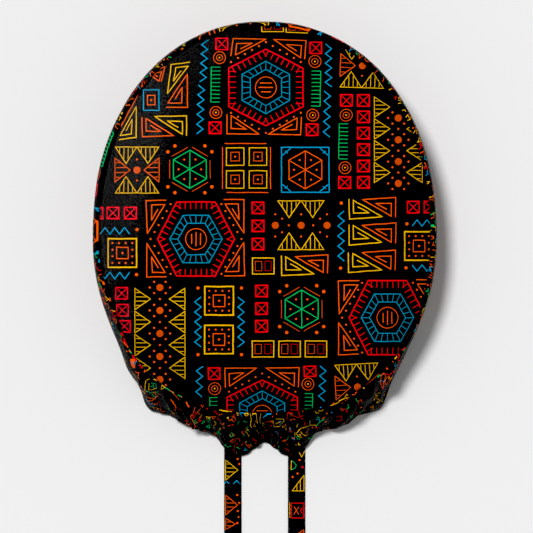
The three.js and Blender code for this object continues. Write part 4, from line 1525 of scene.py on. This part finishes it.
STITCH_LENGTH = 2.3
STITCH_PITCH = 3.1
STITCH_RADIUS = 0.22
STITCH_SIDES = 6
STITCH_INSET = 1.6  # how far the hem's stitches stop from the cloth's ends
BAND_STITCH_RISE = 10.6  # over the hem
NAPE_STITCH_RISE = 9


def stitches(name, rows):
    """Short threads that lie on a surface. rows: the surface, whether it is mirrored, and the line's flat
    points."""
    vertices, faces = [], []
    for surface, mirrored, path in rows:
        lengths = np.concatenate([[0], np.cumsum(np.linalg.norm(np.diff(path, axis=0), axis=1))])
        starts = np.arange(0.5, lengths[-1] - STITCH_LENGTH, STITCH_PITCH)
        flat_a = np.column_stack([np.interp(starts, lengths, path[:, k]) for k in (0, 1)])
        flat_b = np.column_stack([np.interp(starts + STITCH_LENGTH, lengths, path[:, k]) for k in (0, 1)])
        middle = (flat_a + flat_b) / 2
        out = outward_normals(surface, middle) * (-1 if mirrored else 1)
        a, b = surface(flat_a), surface(flat_b)
        for start, end, normal in zip(a, b, out):
            thread(vertices, faces, start, end, normal)
    piece = add_piece(name, vertices, faces)
    piece.data.shade_smooth()
    return piece


def thread(vertices, faces, start, end, normal):
    """Adds one stitch: a six-sided thread, thick in the middle, that dips in at both ends."""
    along = (end - start) / np.linalg.norm(end - start)
    side = np.cross(normal, along)
    side /= np.linalg.norm(side)
    up = np.cross(along, side)
    first = len(vertices)
    rings = ((0.0, 0.35, -0.12), (0.22, 0.9, 0.1), (0.5, 1.0, 0.16), (0.78, 0.9, 0.1), (1.0, 0.35, -0.12))
    for share, size, high in rings:
        centre = start + (end - start) * share + up * high
        for k in range(STITCH_SIDES):
            turn = 2 * math.pi * k / STITCH_SIDES
            vertices.append(centre + STITCH_RADIUS * size * (side * math.cos(turn) + up * math.sin(turn)))
    last = first + STITCH_SIDES * (len(rings) - 1)
    for base in range(first, last, STITCH_SIDES):
        for k in range(STITCH_SIDES):
            a, b = base + k, base + (k + 1) % STITCH_SIDES
            faces.append([a, b, b + STITCH_SIDES, a + STITCH_SIDES])
    faces.append([first + k for k in reversed(range(STITCH_SIDES))])
    faces.append([last + k for k in range(STITCH_SIDES)])


# Materials

def new_material(name):
    material = bpy.data.materials.new(name)
    material.use_nodes = True
    return material, material.node_tree.nodes, material.node_tree.links


def math_node(nodes, links, operation, a, b=None):
    node = nodes.new("ShaderNodeMath")
    node.operation = operation
    for socket, value in zip(node.inputs, (a, b)):
        if isinstance(value, (int, float)):
            socket.default_value = value
        elif value is not None:
            links.new(value, socket)
    return node.outputs[0]


def noise_node(nodes, links, vector, scale, detail=2.0, roughness=0.5):
    node = nodes.new("ShaderNodeTexNoise")
    node.inputs["Scale"].default_value = scale
    node.inputs["Detail"].default_value = detail
    node.inputs["Roughness"].default_value = roughness
    links.new(vector, node.inputs["Vector"])
    return node.outputs["Fac"]


def ramp(nodes, links, value, low, high, from_low=0.0, from_high=1.0):
    node = nodes.new("ShaderNodeMapRange")
    node.inputs["From Min"].default_value = from_low
    node.inputs["From Max"].default_value = from_high
    node.inputs["To Min"].default_value = low
    node.inputs["To Max"].default_value = high
    links.new(value, node.inputs["Value"])
    return node.outputs["Result"]


def mixed(nodes, links, share, first, second):
    """A colour that far from the first to the second."""
    mix = nodes.new("ShaderNodeMix")
    mix.data_type = "RGBA"
    mix.inputs[6].default_value = first
    mix.inputs[7].default_value = second
    links.new(share, mix.inputs[0])
    return mix.outputs[2]


def bumped(nodes, links, height, strength, distance):
    bump = nodes.new("ShaderNodeBump")
    bump.inputs["Strength"].default_value = strength
    bump.inputs["Distance"].default_value = distance
    links.new(height, bump.inputs["Height"])
    return bump.outputs["Normal"]


WEAVE_MM = 0.42  # from one thread to the next
WEAVE_SHARE = 0.35  # of the relief, next to the slubs
COTTON_ROUGHNESS = 0.34
SHEEN_TINT = (0.8, 0.82, 0.9, 1)


def cotton(name, gloss=0.26, sheen=0.01):
    """Plain-woven cotton whose print is read from the cloth's ink."""
    material, nodes, links = new_material(name)
    shader = nodes["Principled BSDF"]
    flat = nodes.new("ShaderNodeAttribute")
    flat.attribute_name = "cloth"
    split = nodes.new("ShaderNodeSeparateXYZ")
    links.new(flat.outputs["Vector"], split.inputs[0])
    rate = 2 * math.pi / WEAVE_MM
    across = math_node(nodes, links, "SINE", math_node(nodes, links, "MULTIPLY", split.outputs[0], rate))
    along = math_node(nodes, links, "SINE", math_node(nodes, links, "MULTIPLY", split.outputs[1], rate))
    weave = math_node(nodes, links, "MULTIPLY", across, along)
    slubs = noise_node(nodes, links, flat.outputs["Vector"], 1.1, 3.0, 0.6)
    patches = noise_node(nodes, links, flat.outputs["Vector"], 0.045, 3.0, 0.55)
    ink = nodes.new("ShaderNodeAttribute")
    ink.attribute_name = "ink"
    slubbed = ramp(nodes, links, slubs, 0.72, 1.22, 0.25, 0.75)
    faded = ramp(nodes, links, patches, 0.88, 1.1, 0.3, 0.7)
    worn = math_node(nodes, links, "MULTIPLY", slubbed, faded)
    dyed = nodes.new("ShaderNodeVectorMath")
    dyed.operation = "SCALE"
    links.new(worn, dyed.inputs["Scale"])
    links.new(ink.outputs["Color"], dyed.inputs[0])
    links.new(dyed.outputs["Vector"], shader.inputs["Base Color"])
    rough = ramp(nodes, links, patches, COTTON_ROUGHNESS - 0.08, COTTON_ROUGHNESS + 0.1)
    links.new(rough, shader.inputs["Roughness"])
    glaze = noise_node(nodes, links, flat.outputs["Vector"], 0.9, 4.0, 0.75)
    links.new(ramp(nodes, links, glaze, 0.0, gloss, 0.46, 0.7), shader.inputs["Specular IOR Level"])
    shader.inputs["Sheen Weight"].default_value = sheen
    shader.inputs["Sheen Roughness"].default_value = 0.45
    shader.inputs["Sheen Tint"].default_value = SHEEN_TINT
    height = math_node(nodes, links, "ADD", math_node(nodes, links, "MULTIPLY", weave, WEAVE_SHARE), slubs)
    links.new(bumped(nodes, links, height, 0.5, 0.0002), shader.inputs["Normal"])
    return material


THREAD_DARK = (0.006, 0.006, 0.006, 1)
THREAD_LIGHT = (0.018, 0.018, 0.02, 1)


def thread_material():
    material, nodes, links = new_material("black thread")
    shader = nodes["Principled BSDF"]
    place = nodes.new("ShaderNodeTexCoord")
    twist = noise_node(nodes, links, place.outputs["Object"], 2600.0, 1.0)
    tint = mixed(nodes, links, twist, THREAD_DARK, THREAD_LIGHT)
    links.new(tint, shader.inputs["Base Color"])
    shader.inputs["Roughness"].default_value = 0.7
    shader.inputs["Specular IOR Level"].default_value = 0.1
    links.new(bumped(nodes, links, twist, 0.3, 0.0001), shader.inputs["Normal"])
    return material


# The scene

def hem_line(cloth_end, rise, from_nape=False):
    """A line of flat cloth that runs that far above the hem."""
    end = cloth_end - STITCH_INSET
    xs = np.linspace(-end, end, 900)
    depth = wall_depth(np.column_stack([xs, xs * 0]), from_nape)
    return np.column_stack([xs, rise - depth])


def tie_line():
    """The line along which a tie is sewn: down one side, across its end and up the other."""
    half = TIE_WIDTH / 2 - TIE_SEW
    top, foot = TIE_TUCK - TIE_HEM_Y - 2, TIE_SEW - TIE_HEM_Y - TIE_LENGTH
    return np.array([(-half, top), (-half, foot), (half, foot), (half, top)])


crown = make_crown()
band = make_band()
nape = make_nape()
ties = {name: make_tie(f"tie_{name}_cloth", *TIES[name]) for name in ("left", "right")}

band_line = hem_line(BAND_END, BAND_STITCH_RISE)
nape_line = hem_line(NAPE_END, NAPE_STITCH_RISE, True)
band_stitches = stitches("band_stitches", [(wall_surface, True, band_line)])
nape_stitches = stitches("nape_stitches", [(nape_surface, False, nape_line)])
tie_stitches = stitches("tie_stitches", [
    (tie_surface(side * TIE_SPACING / 2), False, tie_line()) for side in (-1, 1)
])

printed = cotton("printed cotton")
hung = cotton("band cotton", gloss=0.12)
gathered = cotton("gathered cotton", gloss=0.12, sheen=0.02)
tape = cotton("tie cotton", sheen=0.04)
thread_look = thread_material()

LOOKS = (
    (crown, printed, "printed_cotton", "crown_panel"),
    (band, hung, "printed_cotton", "side_band"),
    (nape, gathered, "gathered_cotton", "nape_casing"),
    (ties["left"], tape, "tie_cotton", "tie_left"),
    (ties["right"], tape, "tie_cotton", "tie_right"),
    (band_stitches, thread_look, "printed_cotton", None),
    (nape_stitches, thread_look, "gathered_cotton", None),
    (tie_stitches, thread_look, "tie_cotton", None),
)
for piece, material, slot, node in LOOKS:
    piece.data.materials.append(material)
    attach(piece, "root")
    if node:
        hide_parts(node)


# The setting: a pale floor, a soft key light from the upper left, two low lights for the sheen on the
# left edge, and a pale fill from all round

FLOOR_SIZE = 30
FLOOR_DROP = 0.0004
FLOOR_DARK = (0.722, 0.722, 0.722, 1)
FLOOR_LIGHT = (0.748, 0.748, 0.748, 1)
KEY_FROM = (-0.2, 0.26, 0.94)
KEY_STRENGTH = 2.75
KEY_SOFTNESS = 11
EDGE_LIGHTS = (((-2.8, 0.5, 0.65), 115), ((-1.9, 2.1, 0.65), 70))  # place in metres, and watts
EDGE_SIZE = 0.9
FILL = 0.37
BLACK_LEVEL = 0.011  # the photograph's darkest tones are clipped to black


def make_floor():
    bpy.ops.mesh.primitive_plane_add(size=FLOOR_SIZE, location=(0, 0, -FLOOR_DROP))
    floor = bpy.context.object
    floor.name = "floor"
    material, nodes, links = new_material("pale paper")
    shader = nodes["Principled BSDF"]
    place = nodes.new("ShaderNodeTexCoord")
    grain = noise_node(nodes, links, place.outputs["Object"], 900.0, 2.0)
    links.new(mixed(nodes, links, grain, FLOOR_DARK, FLOOR_LIGHT), shader.inputs["Base Color"])
    shader.inputs["Roughness"].default_value = 0.9
    shader.inputs["Specular IOR Level"].default_value = 0.0
    floor.data.materials.append(material)


def make_camera():
    data = bpy.data.cameras.new("camera")
    data.lens = LENS
    data.sensor_width = SENSOR
    data.clip_end = 60
    camera = bpy.data.objects.new("camera", data)
    camera.location = Vector((VIEW_X + CAP_PLACE[0], VIEW_Y + CAP_PLACE[1], CAMERA_HEIGHT)) * MM
    bpy.context.scene.collection.objects.link(camera)
    bpy.context.scene.camera = camera


def add_light(data, place):
    """A light at that place, turned to the cap."""
    light = bpy.data.objects.new(data.name, data)
    light.location = place
    light.rotation_euler = (-Vector(place)).to_track_quat("-Z", "Y").to_euler()
    bpy.context.scene.collection.objects.link(light)
    return light


def make_edge_light(place, watts):
    """A low disc that shows only in the cloth's gloss."""
    data = bpy.data.lights.new("edge", "AREA")
    data.shape = "DISK"
    data.size = EDGE_SIZE
    data.energy = watts
    add_light(data, place).visible_diffuse = False


def make_sun():
    """A distant light that leaves no gloss."""
    data = bpy.data.lights.new("key", "SUN")
    data.energy = KEY_STRENGTH
    data.angle = math.radians(KEY_SOFTNESS)
    add_light(data, KEY_FROM).visible_glossy = False


def make_world():
    world = bpy.data.worlds.new("world")
    bpy.context.scene.world = world
    world.use_nodes = True
    background = world.node_tree.nodes["Background"]
    background.inputs["Color"].default_value = (1, 1, 1, 1)
    background.inputs["Strength"].default_value = FILL


def set_tones():
    view = bpy.context.scene.view_settings
    view.view_transform = "Standard"
    view.use_curve_mapping = True
    view.curve_mapping.black_level = (BLACK_LEVEL, BLACK_LEVEL, BLACK_LEVEL)
    view.curve_mapping.update()


make_floor()
make_camera()
make_sun()
for place, watts in EDGE_LIGHTS:
    make_edge_light(place, watts)
make_world()
set_tones()
